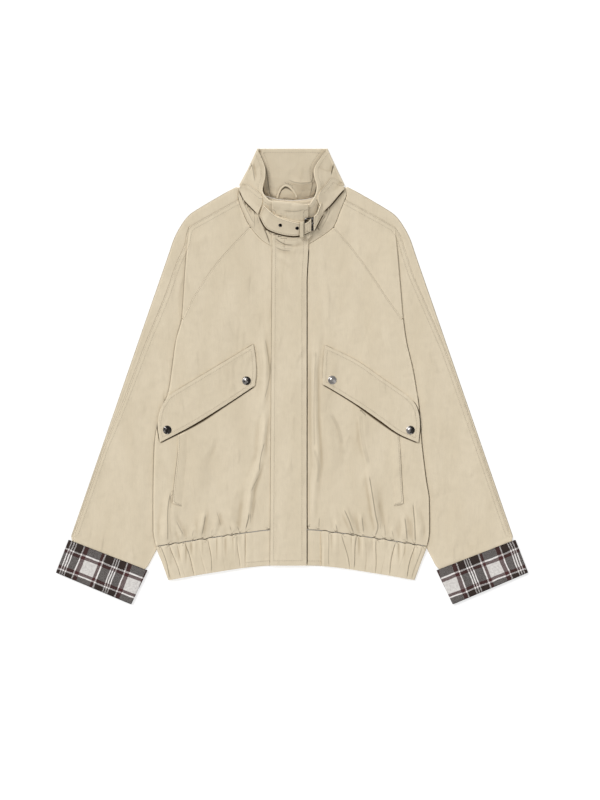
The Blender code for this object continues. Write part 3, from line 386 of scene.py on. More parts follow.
def far(x, y, line):
    """Only the distance."""
    return distance(x, y, np.asarray(line, float))[0]


def read(items, name, wide=1, kind=float):
    """One property of many mesh items."""
    values = np.empty(len(items) * wide, kind)
    items.foreach_get(name, values)
    return values.reshape(-1, wide) if wide > 1 else values


def paint(mesh, name, values):
    """A mark on every point for the materials to read."""
    mesh.attributes.new(name, "FLOAT", "POINT").data.foreach_set("value", np.asarray(values, np.float32))


def meshed(name, shape):
    bmesh.ops.recalc_face_normals(shape, faces=shape.faces)
    mesh = bpy.data.meshes.new(name)
    shape.to_mesh(mesh)
    shape.free()
    return mesh


def finished(mesh, look, wall=0.0):
    """A piece of the jacket from its mesh. Places were read off the picture at board level, so what lies
    higher moves a little towards the camera's axis."""
    points, axis = read(mesh.vertices, "co", 3), np.array(camera.location)
    points[:, :2] = axis[:2] + (points[:, :2] - axis[:2]) * (1 - points[:, 2:] / axis[2])
    mesh.vertices.foreach_set("co", points.ravel())
    mesh.materials.append(look.material)
    mesh.shade_smooth()
    piece = placed(mesh.name, mesh)
    if wall:
        layer = piece.modifiers.new("Cloth", "SOLIDIFY")
        layer.thickness, layer.offset = wall * MM, 0
    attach(piece, "root")
    return piece


def neighbours(values, a, b):
    """The sum of each point's neighbours' values, a and b being the ends of the edges."""
    total = np.zeros_like(values)
    np.add.at(total, a, values[b])
    np.add.at(total, b, values[a])
    return total


def creased(mesh, points):
    """How deep in a crease each point is, from -1 on a ridge to 1, and 1 for those on a free edge."""
    normals, (a, b) = read(mesh.vertices, "normal", 3), read(mesh.edges, "vertices", 2, int).T
    count = len(points)
    step = points[b] - points[a]
    pull = step / (step**2).sum(1, keepdims=True)
    bend = np.zeros((count, 3))
    np.add.at(bend, a, pull)
    np.add.at(bend, b, -pull)
    hollow = (bend * normals).sum(1) * np.sign(normals[:, 2] + 1e-9)
    free = np.bincount(read(mesh.loops, "edge_index", kind=int), minlength=len(mesh.edges)) == 1
    rim = np.zeros(count)
    rim[a[free]] = rim[b[free]] = 1
    hollow = np.clip(hollow * 5 * (1 - rim), -1, 1)
    for _ in range(2):
        hollow = (hollow + neighbours(hollow, a, b)) / (1 + neighbours(np.ones(count), a, b))
    return hollow, rim


EVERYWHERE, BEYOND = 60.0, 9.0  # a height above the whole jacket; an offset too wide for any dark line


def gap(line, wide, depth=1.0, below=EVERYWHERE):
    """A painted shadow line, as under a free edge: half its width, how dark it is, and the height below
    which it falls.
    """
    return np.asarray(line, float), wide, depth, below


def shell(name, patches, thick, look, slot, stitched=(), rows=(1.8,), gaps=(), sewn=()):
    """Patches of middle points that share their edges, joined and given the cloth's thickness. Marks on its
    points say how far it is from a row of stitches or a painted shadow line, how deep in a crease, and
    whether it is on a free edge."""
    shape = bmesh.new()
    for patch in patches:
        grid = [[shape.verts.new(p * MM) for p in row] for row in np.asarray(patch, float)]
        for upper, lower in zip(grid, grid[1:]):
            for a, b, c, d in zip(upper, upper[1:], lower[1:], lower):
                shape.faces.new((a, d, c, b))
    bmesh.ops.remove_doubles(shape, verts=shape.verts, dist=0.02 * MM)
    bmesh.ops.dissolve_degenerate(shape, edges=shape.edges, dist=0.01 * MM)
    mesh = meshed(name, shape)
    points = read(mesh.vertices, "co", 3) / MM
    hollow, rim = creased(mesh, points)
    x, y, count = points[:, 0], points[:, 1], len(points)
    away, run = np.full(count, EVERYWHERE), np.zeros(count)
    for line in stitched:
        off, _, _, along = distance(x, y, np.asarray(line, float))
        away, run = np.minimum(away, off), np.where(off < away, along, run)
    row = away - rows[0] if len(rows) == 1 else np.abs(away - sum(rows) / 2) - (rows[1] - rows[0]) / 2
    for line in sewn:
        rim[far(x, y, line) < 3] = 0
    nearest, offset, dark = np.full(count, EVERYWHERE), np.full(count, BEYOND), np.zeros(count)
    for line, wide, depth, below in gaps:
        off, _, left, along = distance(x, y, line)
        long = lengths(line[:, :2])[-1]
        tips, here = np.minimum(along, long - along), off < nearest
        wide = wide(along / long) if callable(wide) else wide
        nearest, offset = np.where(here, off, nearest), np.where(here, off * left / wide, offset)
        fade = ease((wide + 4.5 - off) / 2.5) * ease(tips / 6 + 0.1)
        dark = np.where(here, fade * (points[:, 2] <= below) * depth, dark)
    marks = {
        "row": row if len(stitched) else away, "run": run, "hollow": hollow * 1.6, "rim": rim,
        "line": offset, "dark": dark,
    }
    for mark, values in marks.items():
        paint(mesh, mark, values)
    return finished(mesh, look, thick)


def cloth(
    node, patches, thick, flat, share=1.0, held="laid", rests_on=(), look=outside, slot="twill", **rows,
):
    """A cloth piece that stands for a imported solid; flat is the cut in millimetres, share how much of it
    the cut fills."""
    piece = shell(node + "_cloth", patches, thick, look, slot, **rows)
    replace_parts(piece, node)
    width, length = (side * MM for side in flat)
    share * width * length
    return piece


# The outer line of shoulder and sleeve, the fold where the sleeve tucks behind the body, and the sleeve's
# hidden inner edge.
OUTER = table("y reach", """
    306 84, 298 99.5, 279 132.8, 269 149.5, 260 163, 250 172.2, 240 178.8, 231 184, 218 190, 199 196.4,
    103 229.6, -60 285.9, -263 356, -330 379.1
""")
EDGE = table("y right left", """
    256 165.5 162, 240 165 164.3, 205 168 168, 168 171 171.2, 130 173.5 174.4, 93 176 177.6,
    58 185.5 182.4, 12 191.8 193, -25 197.5 199.4, -50 207.5 203, -108 219.8 207.4, -166 221.6 214.4,
    -198 222 219.2, -247 221.8 219.7, -272 217.6 215.6, -300 207.2 205.6, -327 197.4 195.8
""")
INNER = table("y reach", """
    320 190, 215 167.3, -45 104, -160 157, -220 187.4, -250 203, -278 217.8, -311.5 235, -366 260.5
""")
RAGLAN_BACK = table("y reach", "298 62, 262 84, 226 104, 180 126, 125 142, 60 143, -10 122, -46.4 95.5")
HEM_SEAM = table("reach y", "0 -245.5, 35 -246.5, 74 -251, 146 -261.5, 218 -273")
NECK_BACK = table("reach y", "0 282, 20 283.6, 40 288.6, 62 298, 84 306")
# Levels from the hem up: the band's lower and upper edge in the middle, the underarm, the throat, where the
# sleeves' tuck ends, and the shoulder seam's and the neckline's upper ends. Then how far out the sides are.
HEM_FOOT, HEM_TOP, UNDERARM_Y, THROAT_Y, TUCK_Y, SHOULDER_TOP, NECK_POINT_Y = (
    -303.6, -245.5, -45.0, 206.5, 240, 283.5, 306
)
SIDE = 215.0


def outer_reach(y):
    return follow(OUTER, "reach", y)


def inner_reach(y):
    return follow(INNER, "reach", y)


def seam_y(reach):
    return follow(HEM_SEAM, "y", reach)


def fold_reach(side, y):
    return follow(EDGE, side, y)


def fold_under(x, y):
    """How far out the fold is on the side of x."""
    return np.where(np.asarray(x) < 0, fold_reach("right", y), fold_reach("left", y))


# Soft folds of the sleeves: points along each, then how wide and how high.
SLEEVE_FOLDS = curves("""
    206.4 66, 214.4 -48, 220.3 -110, 225 -166, 233.6 -187: 7 1.3; -240 -112, -240 -193, -249 -236: 8 1.2;
    -214 40, -226 -40, -246 -110: 12 -0.8; -232 -60, -262 -150, -283 -226: 14 0.9; 236 20, 252 -60,
    276 -140: 14 -0.7; 252 -130, 276 -204, 300 -262: 11 0.9; -300 -176, -318 -232, -330 -262: 9 -0.8;
    -262 -262, -252 -214, -256 -176: 7 0.9; -292 -286, -284 -246, -280 -215: 6 0.9; 262 -284, 258 -240,
    262 -205: 6 1; 288 -292, 284 -258, 286 -226: 6 -0.8; 322 -290, 314 -254, 306 -226: 7 0.8; -322 -286,
    -312 -246: 6 0.7; -196 152, -204 98, -214 46: 9 0.8; 190 160, 200 104, 208 60: 9 -0.7; -190 206,
    -184 176, -190 140: 8 -0.6; 232 -4, 222 14, 204 24: 6 0.8; -236 -22, -222 -6, -204 0: 6 0.8
""")


def folds_z(x, y, folds):
    """Ridges and troughs along soft lines, fading at their ends; some fall away steeply on one side."""
    total = np.zeros(np.broadcast(x, y).shape)
    for line, width, height, *steep in folds:
        line = np.array(line, float)
        middle, half = line.mean(0), np.ptp(line, 0) / 2 + 3 * width
        near = (np.abs(x - middle[0]) < half[0]) & (np.abs(y - middle[1]) < half[1])
        if not near.any():
            continue
        away, _, left, along = distance(*(np.broadcast_to(v, total.shape)[near] for v in (x, y)), line)
        long = lengths(line)[-1]
        tips = ease(np.minimum(along, long - along) / (0.35 * long))
        narrow = np.where(left == steep[0], 0.3, 1.0) if steep else 1.0
        total[near] += height * np.exp(-((away / (width * narrow)) ** 2)) * (0.2 + 0.8 * tips)
    return total


def rumple(x, y, long, size):
    """Low uneven swells, long up the garment and shorter across it."""
    waves = (
        (0.9, 0.25, 0.3), (-0.7, 0.5, 1.9), (1.7, -0.3, 4.1), (1.25, 0.9, 2.6), (-2.3, 0.4, 0.9),
        (0.4, 1.3, 5.2), (2.9, 0.7, 3.3),
    )
    bent = x + 9 * np.sin(y / 47 + 1) + 4 * np.sin(y / 19)
    return (
        sum(
            size / (1 + 0.55 * k) * np.sin(2 * math.pi * (a * bent + b * y) / long + c)
            for k, (a, b, c) in enumerate(waves)
        ) / 2.2
    )


SLEEVE_LEVEL = 3.4


def sleeve_z(x, y):
    """Middle of the sleeve's upper layer."""
    x, y = plan(x, y)
    reach = np.abs(x)
    outside = (outer_reach(y) - reach) * 0.94
    inside = (reach - inner_reach(y)) * 0.9
    free = (
        ease(np.minimum(outside / 14, (reach - np.maximum(fold_under(x, y), inner_reach(y)) - 2) / 13))
        * ease((238 - y) / 30)
    )
    extra = folds_z(x, y, SLEEVE_FOLDS) + rumple(x, y, 150, 0.45)
    return (
        SLEEVE_LEVEL + 0.5 * ease(np.minimum(outside, np.maximum(inside, 8)) / 42)
        + free * np.where(extra < 0, -1.3 * (1 - np.exp(extra / 1.3)), extra)
    )


def ground_z(x, y):
    """Middle of the layer under the fronts: on the board, and over the tucked sleeves at the sides."""
    reach = np.abs(x)
    over_sleeve = sleeve_z(np.where(x < 0, -1, 1) * np.minimum(reach, fold_under(x, y)), y) + 2 * TURN
    return FLOOR + (over_sleeve - FLOOR) * ease((reach - (inner_reach(y) - 10)) / 11)


def lowered(y, reach):
    """Lines across the body bend down to the hem seam as they near it."""
    return y + ease((-60 - y) / 186) * (seam_y(reach) - HEM_TOP)


def raglan_back(y):
    return np.interp(y, RAGLAN_BACK["y"], RAGLAN_BACK["reach"])


def back_half(sign, side):
    split = UNDERARM_Y - 1.4
    high = dense([298, 262, 226, 180, 125, 60, -10, split], 7)
    low = dense([split, -66, -92, -120, -150, -180, -206, -222, -234, HEM_TOP + SEAM], 6)
    rows = np.concatenate([high, low[1:]])
    edge = np.where(
        rows >= split, raglan_back(rows) - SEAM / 2, inner_reach(lowered(rows, inner_reach(rows) + 4)) - 10,
    )
    edge[len(high) - 1] = inner_reach(split) - 10
    f = np.linspace(0, 1, 20)
    reach = edge[:, None] * f
    arch = follow(NECK_BACK, "y", 62 * f) - NECK_BACK["y"][3] - SEAM
    y = lowered(rows[:, None] + arch * np.clip((rows[:, None] - 180) / 118, 0, 1), reach)
    centre = surface(sign * reach, y, np.where(y < UNDERARM_Y, ground_z(sign * reach, y), FLOOR))
    near = lowered(low, inner_reach(low) + 4)
    start = inner_reach(near) - 10
    spread = np.maximum(fold_reach(side, lowered(low, SIDE)) - TURN - 3.6 - start, 3)
    steps = np.array([0, 3, 5.5, 8, 11.5])[None] * np.minimum(1, spread / 14)[:, None]
    rest = steps[:, -1:] + (spread[:, None] - steps[:, -1:]) * np.linspace(0, 1, 11)[1:]
    reach = start[:, None] + np.hstack([steps, rest])
    y = lowered(low[:, None], reach)
    outer = surface(sign * reach, y, ground_z(sign * reach, y))
    outer[0, 0] = centre[len(high) - 1, -1]
    return [centre, outer]


cloth("back", back_half(-1, "right") + back_half(1, "left"), CLOTH, (462, 560), 0.66)

# ---- The fronts ------------------------------------------------------------------------------------------
# Two twill panels with raglan armholes that turn under along the sides, where the sleeves are tucked
# behind. The twill lies loose: long soft folds run down beside the storm flap, and short ones rise from the
# hem seam.

NECK = table("y right left", """
    306 84 84, 291 86.4 87.6, 283 86 84.8, 266 79.6 77.4, 250 72.8 71.6, 240 67 67, 228 57.4 52,
    218 48 36.4, 212 38.5 26, 208.5 30 16, 206.5 0.15 0.15
""")
RAGLAN = table("y right left", """
    240 67 67, 205 100.5 97.2, 177 125 118, 147 146 138.8, 113 165.6 161.4, 93 174.6 176.3
""")
RAGLAN_HIDDEN = table("y reach", "94 174.8, -45 106.6")
NECK_ROWS = np.array([206.5, 210, 214, 220, 226, 232, 240, 250, 262, 274, 283.5, 290, 298, 306])
SEAM_ROWS = np.array([93, 125, 155, 180, 200, 214, 226, 240])
RAGLAN_END_Y = 93.0
FRONT_LEVEL, COLLAR_FOOT = 5.2, 6.6
PLACKET = (-33.5, 24.0)
TAB_ENDS = {"right": 74.2, "left": 45.8}
FRONT_FOLDS = curves("""
    -47 74, -44 44, -37 13, -39 -12, -46 -41, -52 -59: 9 2 1; -38 -49, -43 -80, -46 -100, -47 -118,
    -53 -136: 9 2.4 1; -46 -122, -55 -150, -65 -180, -68 -205, -73 -247: 10 2.6 1; -52 -66, -56 -120,
    -66 -158: 8 -1; -58 163, -50 74: 12 -1.1; -80 -190, -86 -252: 6 -1.1; -128 -58, -131 -120,
    -128 -168: 10 -1.2; -148 -112, -150 -166, -146 -205: 12 0.9; -139 -212, -147 -258: 7 2.2 1; -119 -226,
    -123 -254: 5 1.5 1; -117 -214, -112 -244: 5 -0.8; -100 -205, -97 -250: 7 0.9; -186 -232,
    -172 -263: 6 1.9 1; -96 -236, -92 -250: 5 1.6 -1; -160 -236, -158 -262: 4 1.3; -195 -178, -199 -200,
    -199.5 -240, -198 -270: 9 2 1; -192 -196, -191 -262: 5 1.3; -208 -222, -206 -268: 5 1.2; -96 150,
    -104 96, -100 60: 14 0.9; -142 96, -134 40: 13 -0.9; -154 44, -168 -4: 10 0.8; -88 -74,
    -96 -150: 12 0.8; -110 190, -88 168, -70 140: 9 0.6; 46 74, 37 13, 37.4 -64, 42 -140, 38 -180,
    33 -220: 9 2 1; 32 -150, 31 -200, 33 -240: 4 1.2; 61 -49, 73 -80, 81 -102, 83 -156: 8 -1.4; 52 -64,
    62 -120, 64 -170: 9 1; 109 -55, 113 -102, 122 -141: 11 1.7 -1; 128 74, 141 13, 145 -34: 13 -1.2;
    121 -150, 127 -188, 132 -222, 137 -245, 131.5 -258: 9 2.5 -1; 140 -190, 148 -250: 7 -1.1; 83 -214,
    99 -252: 6 2 -1; 110 -214, 114 -252: 5 1.7 1; 70 -226, 72 -249: 4 1.1; 160 -238, 161 -262: 4 1.3;
    180.5 -222, 184 -264: 6 2 1; 196 -200, 198 -269: 8 2.3 -1; 207 -226, 205 -268: 5 1.2; 94 148, 104 92,
    98 54: 13 0.9; 60 160, 54 104, 60 74: 10 0.9; 150 92, 160 30: 11 0.8; 100 -80, 98 -150: 10 -0.9;
    112 186, 90 166, 72 140: 9 0.6; 165 -100, 170 -170: 12 0.8
""")


def neck(y, side):
    return np.interp(y, NECK_ROWS, follow(NECK, side, NECK_ROWS))


def raglan(y, side):
    return np.interp(y, SEAM_ROWS, follow(RAGLAN, side, SEAM_ROWS))


NECK_LINES = {
    side: np.array([(sign * neck(y, side), y) for y in NECK_ROWS]) for side, sign in SIDES.items()
}
RAGLAN_LINES = {
    side: np.array([(sign * raglan(y, side), y) for y in SEAM_ROWS]) for side, sign in SIDES.items()
}


def tuck_turn(y):
    """How far the layers have turned at the fold, from nothing at the shoulder to half a circle."""
    return math.pi * ease((TUCK_Y - np.asarray(y, float)) / 34)


def seam_puckers(y, reach, out):
    """Short uneven puckers that run up from the gathered hem seam."""
    wave = (
        np.sin(reach / 2.0 + 1.6 * np.sin(reach / 13)) * (0.5 + 0.5 * np.sin(reach / 9.5 + 2))
        + 0.7 * np.sin(reach / 4.6 + 1)
    )
    return (
        0.75 * wave * np.exp(-np.maximum(out, 0) / (11 + 5 * np.sin(reach / 8))) * ease((reach - 48) / 20)
        * ease((222 - reach) / 14)
    )


def ragged(reach, side):
    """The gathered seam wavers where pleats are caught in it."""
    return (
        0.9 * np.sin(reach / 2.6 + 1.7 * np.sin(reach / 17)) * (0.55 + 0.45 * np.sin(reach / 7))
        * ease((reach - TAB_ENDS[side]) / 8) * ease((220 - reach) / 8)
    )


def hem_line(side):
    return [(SIDES[side] * v, float(seam_y(v) + ragged(v, side))) for v in np.arange(16, 219, 1.5)]


def flap_edges(y):
    """Left and right edge of the storm flap."""
    return -35.2 + 3.6 * np.clip((y - HEM_FOOT) / 519, 0, 1), 23.4 + 2.6 * ease((y - 150) / 60)


def front_z(x, y):
    """Middle of the top layer: the fronts, and the sleeves as far as the fold."""
    x, y = plan(x, y)
    reach, edge = np.abs(x), fold_under(x, y)
    turn = tuck_turn(y)
    height = 2 * TURN * (1 - np.cos(turn)) + 0.6 * ease((TUCK_Y - y) / 10) * np.clip(np.sin(turn), 0, 1)
    edge_z = sleeve_z(np.sign(x) * np.minimum(reach, edge), y) + height
    start = np.minimum(inner_reach(y), edge) - 34
    raised = FRONT_LEVEL + (edge_z - FRONT_LEVEL) * ease((reach - start) / 38)
    near = np.where(x < 0, far(x, y, NECK_LINES["right"]), far(x, y, NECK_LINES["left"]))
    foot = (COLLAR_FOOT - 0.3 - FRONT_LEVEL) * ease(1 - near / 45)
    beside = ease((np.maximum(PLACKET[0] - x, x - PLACKET[1]) - 3) / 9)
    inside = ease((edge - reach - 2) / 10)
    seam = seam_y(reach)
    folds = (
        (1.75 * folds_z(x, y, FRONT_FOLDS) + rumple(x, y, 170, 0.8 + 0.6 * ease((60 - y) / 160)))
        * ease((TUCK_Y - y) / 60) * ease(near / 25) * beside * inside
    )
    folds = folds + seam_puckers(y, reach, y - seam) * inside * (y > seam)
    room = np.maximum(raised - ground_z(x, y) - CLOTH - 2 * GAP, 0.05)
    return raised + foot + np.where(folds < 0, -room * (1 - np.exp(np.minimum(folds, 0) / room)), folds)


def rolled(z, *ways):
    """Sewn edges roll down into their seam; ways are distances from them."""
    return z - 0.45 * np.exp(-(np.minimum.reduce(ways) / 1.6))


def arc(reach, low, high, radius, opens, count=7):
    """Half a turn between two layers, from the upper to the lower; opens is 1 when it bulges outwards, -1
    inwards."""
    turn = np.linspace(0, math.pi, count)
    middle, tall = (low + high) / 2, (high - low) / 2
    return (
        reach[..., None] + opens * radius * np.sin(turn), middle[..., None] + tall[..., None] * np.cos(turn)
    )


def front(side):
    sign = SIDES[side]
    top = dense([238.4, 232, 226, 220, 214, 210, 206.5, 200, 180, 155, 140, 125, 110], STEP)
    down = dense(
        [
            RAGLAN_END_Y - 4 * SEAM, 70, 46, 22, 0, -22, UNDERARM_Y, UNDERARM_Y - 1, -70, -95, -120, -145,
            -168, -190, -208, -224, -236, -244.3, HEM_TOP + SEAM,
        ], STEP,
    )
    rows = np.concatenate([top, down])
    start = np.where(rows > THROAT_Y, neck(rows, side) + SEAM / 2, SEAM)
    turned = fold_reach(side, lowered(rows, SIDE)) - TURN
    end = np.where(rows > RAGLAN_END_Y, raglan(rows, side) - SEAM / 2, turned)
    reach = start[:, None] + across(200, 2.4) * np.maximum(end - start, 0)[:, None]
    y = lowered(rows[:, None], reach)
    x = sign * reach
    z = rolled(
        front_z(x, y), far(x, y, RAGLAN_LINES[side]), far(x, y, NECK_LINES[side]) * 2, y - seam_y(reach),
    )
    panel = surface(x, y + ragged(reach, side) * np.exp(-(y - seam_y(reach)) / 5), z)
    # Down the side it turns under, as far as the hidden raglan seam and then the side seam.
    edge, y, high = turned[len(top) :], y[len(top) :, -1], z[len(top) :, -1]
    low = np.minimum(sleeve_z(sign * edge, y) + 2 * TURN, high - 1.7)
    reach, z = arc(edge, low, high, TURN, 1)
    turn = surface(sign * reach, y[:, None], z)
    hidden = np.where(down >= UNDERARM_Y, follow(RAGLAN_HIDDEN, "reach", down) + SEAM, edge - 3)
    hidden = np.minimum(hidden, edge - 0.4)
    reach = rays(edge, hidden, np.linspace(0, 1, 9))
    flat = sleeve_z(sign * reach, y[:, None]) + 2 * TURN
    flat = flat + (low - flat[:, 0])[:, None] * ease(1 - (edge[:, None] - reach) / 20)
    return [panel, turn, surface(sign * reach, y[:, None], flat)]


FLAPS = {
    "right": drawn_all(
        top="-61.8 51.8, -106 25, -152 -2.6, -197.3 -29.9",
        bottom="-60 -15, -105.4 -45, -160 -78.6, -212 -106",
        start="-61.8 51.8, -58.4 30, -57.3 5.3, -60 -15",
        end="-197.3 -29.9, -210 -50, -215.5 -76, -212 -106",
    ),
    "left": drawn_all(
        top="52.6 50.4, 104 25.1, 146 -4, 188.2 -33.1",
        bottom="49 -12.5, 62 -19.5, 104 -45, 140 -70, 171 -92, 203 -106.5",
        start="52.6 50.4, 50.4 28, 49 5.3, 49 -12.5",
        end="188.2 -33.1, 200.6 -50, 205.2 -76, 203 -106.5",
    ),
}


def points_at(at, along, line):
    """Points of a line at given lengths; along is the length at each of its own points."""
    return np.stack([np.interp(at, along, column) for column in line.T], axis=1)


def resample(line, count):
    along = lengths(line)
    return points_at(np.linspace(0, along[-1], count), along, line)


def spline(points, count):
    """Points at equal steps along a smooth curve through the given ones."""
    p = np.array(points, float)
    p = np.vstack([2 * p[0] - p[1], p, 2 * p[-1] - p[-2]])
    t = np.linspace(0, 1, 13)[:-1, None]
    runs = [
        0.5 * (2 * b + (c - a) * t + (2 * a - 5 * b + 4 * c - d) * t**2 + (3 * b - 3 * c + d - a) * t**3)
        for a, b, c, d in zip(p, p[1:], p[2:], p[3:])
    ]
    return resample(np.vstack(runs + [p[-2:-1]]), count)


WELTS = {
    "right": drawn_all(
        outward="-182.5 -94.5, -183.5 -129.1, -188 -165.9, -191.4 -203.8",
        inward="-161.5 -83, -162 -129, -166 -172, -169.8 -212.8",
    ),
    "left": drawn_all(
        outward="171 -92.5, 173.3 -117.3, 176 -165.9, 178.6 -204",
        inward="150 -81, 151 -117, 153.5 -166, 156 -211.2",
    ),
}
# Painted shade lines of sharp creases on the fronts: points along each, half width, depth.
CREASE_SHADOWS = curves("""
    -44.5 -106, -50.5 -132, -52.8 -153: 0.8 0.4; -53 -159, -61 -174, -66.5 -186: 0.8 0.25; -69 -219,
    -70.5 -230, -74.6 -246: 0.9 0.6; -139 -222, -141 -236, -145 -256: 0.9 0.45; -121 -216, -117 -230,
    -113 -242: 0.8 0.25; -195 -186, -199.3 -215, -199.3 -264: 0.9 0.42; -186 -232, -180 -244,
    -174 -255: 0.8 0.3; -100 -238, -97 -249: 0.8 0.4; -158 -246, -160 -258: 0.8 0.35; -128 -244,
    -129 -255: 0.8 0.3; -43 60, -36 14, -38 -12, -44 -36: 1 0.25; -88 -240, -84 -250: 0.9 0.45; -58 -196,
    -64 -228: 1.2 0.15; 38.5 40, 36.5 0, 35.5 -60, 36.5 -112: 1.6 0.18; 36 -116, 42.5 -145,
    41 -172: 2.4 0.14; 44 -226, 43 -244: 1 0.35; 124 -160, 129 -190, 134 -222, 138 -242, 133 -257: 1 0.5;
    84 -214, 92 -232, 99 -252: 1 0.5; 112 -224, 115 -252: 0.9 0.4; 181 -226, 185 -264: 0.9 0.45; 194 -204,
    197 -236, 198 -266: 1 0.5; 160 -246, 163 -259: 0.8 0.35; 70 -236, 73 -249: 0.9 0.4; 110 -62, 114 -102,
    123 -141: 3.2 0.13; 62 -60, 74 -82, 81 -110: 3.2 0.12; 148 -236, 150 -258: 0.8 0.3
""")


def beside_flap(side):
    """Painted shadow: the storm flap's free edge leaves a wide dark line, its sewn one a faint one."""
    free = side == "left"
    line = [(flap_edges(v)[1 if free else 0], v) for v in np.linspace(-303, 205, 66)]
    return gap(line, 2.0, 1.0) if free else gap(line, 0.7, 0.5)


def below_flap(side):
    """Painted shadow: the pocket flap's free edge leaves a dark line, widest past its middle."""
    return gap(spline(FLAPS[side]["bottom"], 30), lambda t: 2.3 + 2.2 * np.exp(-(((t - 0.58) / 0.22) ** 2)))


def front_gaps(side):
    """Painted shadow lines: where a free edge above leaves a gap, under and round the pocket flap, beside
    the storm flap and at the hem, and along the neck and raglan seams, the welt and the creases."""
    lines = {k: spline(line, 30) for k, line in FLAPS[side].items()}
    creases = [
        gap(spline(line, 16), wide, depth)
        for line, wide, depth in CREASE_SHADOWS if (line[0][0] > 0) == (side == "left")
    ]
    return [
        beside_flap(side), below_flap(side), gap(NECK_LINES[side][:9], 0.7, 0.4),
        gap(RAGLAN_LINES[side], 0.5, 0.22), gap(spline(FLAPS[side]["end"], 20)[2:], 1.4),
        gap(hem_line(side), 0.9, 0.9), gap(spline(WELTS[side]["outward"], 20)[4:], 0.9, 0.5),
        gap(lines["top"][:4], 0.8, 0.6), gap(lines["top"][4:28], 0.8, 0.24),
        gap(lines["start"][2:27], 0.8, 0.13), *creases,
    ]


for side in SIDES:
    cloth(
        f"front_{side}", front(side), CLOTH, (262, 520), 0.74, rests_on=["back"],
        stitched=[RAGLAN_LINES[side]], rows=(2.0,), gaps=front_gaps(side),
    )

# ---- The raglan sleeves ----------------------------------------------------------------------------------
# Each is a front and a back panel of twill, sewn along the top of the arm with two rows of stitches and
# under it. They are pressed flat, and tucked behind the body from the shoulder point down.

OVERARM = table("y right left", """
    244 13 13, 240 13.8 14.5, 232 16 13.6, 222 18 12.8, 213 20.5 13, 200 19.5 13.5, 182 17 14.2,
    168 16.8 14.4, 137 17 12, 96 14.9 8.6, 72 12.9 6.5, 43 11.4 4, 9 10 3, -40 8 2.7, -80 5.5 2.7,
    -115 2.7 2.7, -330 2.7 2.7
""")
SLEEVE_ROWS = [
    TUCK_Y, 226, 214, 200, 180, 155, 125, RAGLAN_END_Y, 60, 25, -10, UNDERARM_Y, UNDERARM_Y - 1, -80, -118,
    -155, -190, -222, -248, -262, -271,
]
SHOULDER_Y = (TUCK_Y, SHOULDER_TOP)
# Inside the cuff: the two layers, and how much the end narrows.
CUFF_LOW, CUFF_HIGH, NARROWER = 2.75, 4.35, 3.4


def shoulder(y, side):
    low, high = SHOULDER_Y
    return np.interp(y, SHOULDER_Y, [float(fold_reach(side, low)), float(neck(high, side)) + SEAM])


def overarm(y, side):
    return outer_reach(y) - follow(OVERARM, side, y)


def inner_row(y):
    """Lines across the sleeve slant more and more towards the cuff."""
    return y - 48.5 * np.clip((UNDERARM_Y - y) / 218, 0, 1.04) ** 1.15


def squeezed(row):
    """How far a row of the sleeve has slipped into the cuff."""
    return ease((-256 - row) / 7)


def tuck(y, edge):
    """The S-shaped path at the fold, from the top layer round to the sleeve's upper layer: reach, and
    height above it."""
    turn = tuck_turn(y)
    depth = np.maximum(0.6 * ease((TUCK_Y - y) / 10), edge - 2 * TURN - inner_reach(y))
    angle = turn[:, None] * np.linspace(0, 1, 5)
    out, down = TURN * np.sin(angle), TURN * (1 - np.cos(angle))
    run = np.array([1 / 3, 2 / 3])
    mid_x = out[:, -1:] + (np.cos(turn) * depth)[:, None] * run
    mid_z = down[:, -1:] + (np.sin(turn) * depth)[:, None] * run
    back_x = out[:, -1:] * 2 + (np.cos(turn) * depth)[:, None] - out[:, ::-1]
    back_z = down[:, -1:] * 2 + (np.sin(turn) * depth)[:, None] - down[:, ::-1]
    path = (edge - TURN * np.sin(np.minimum(turn, math.pi / 2)))[:, None] + np.hstack([out, mid_x, back_x])
    fall = np.hstack([down, mid_z, back_z])
    return path, fall[:, -1:] - fall


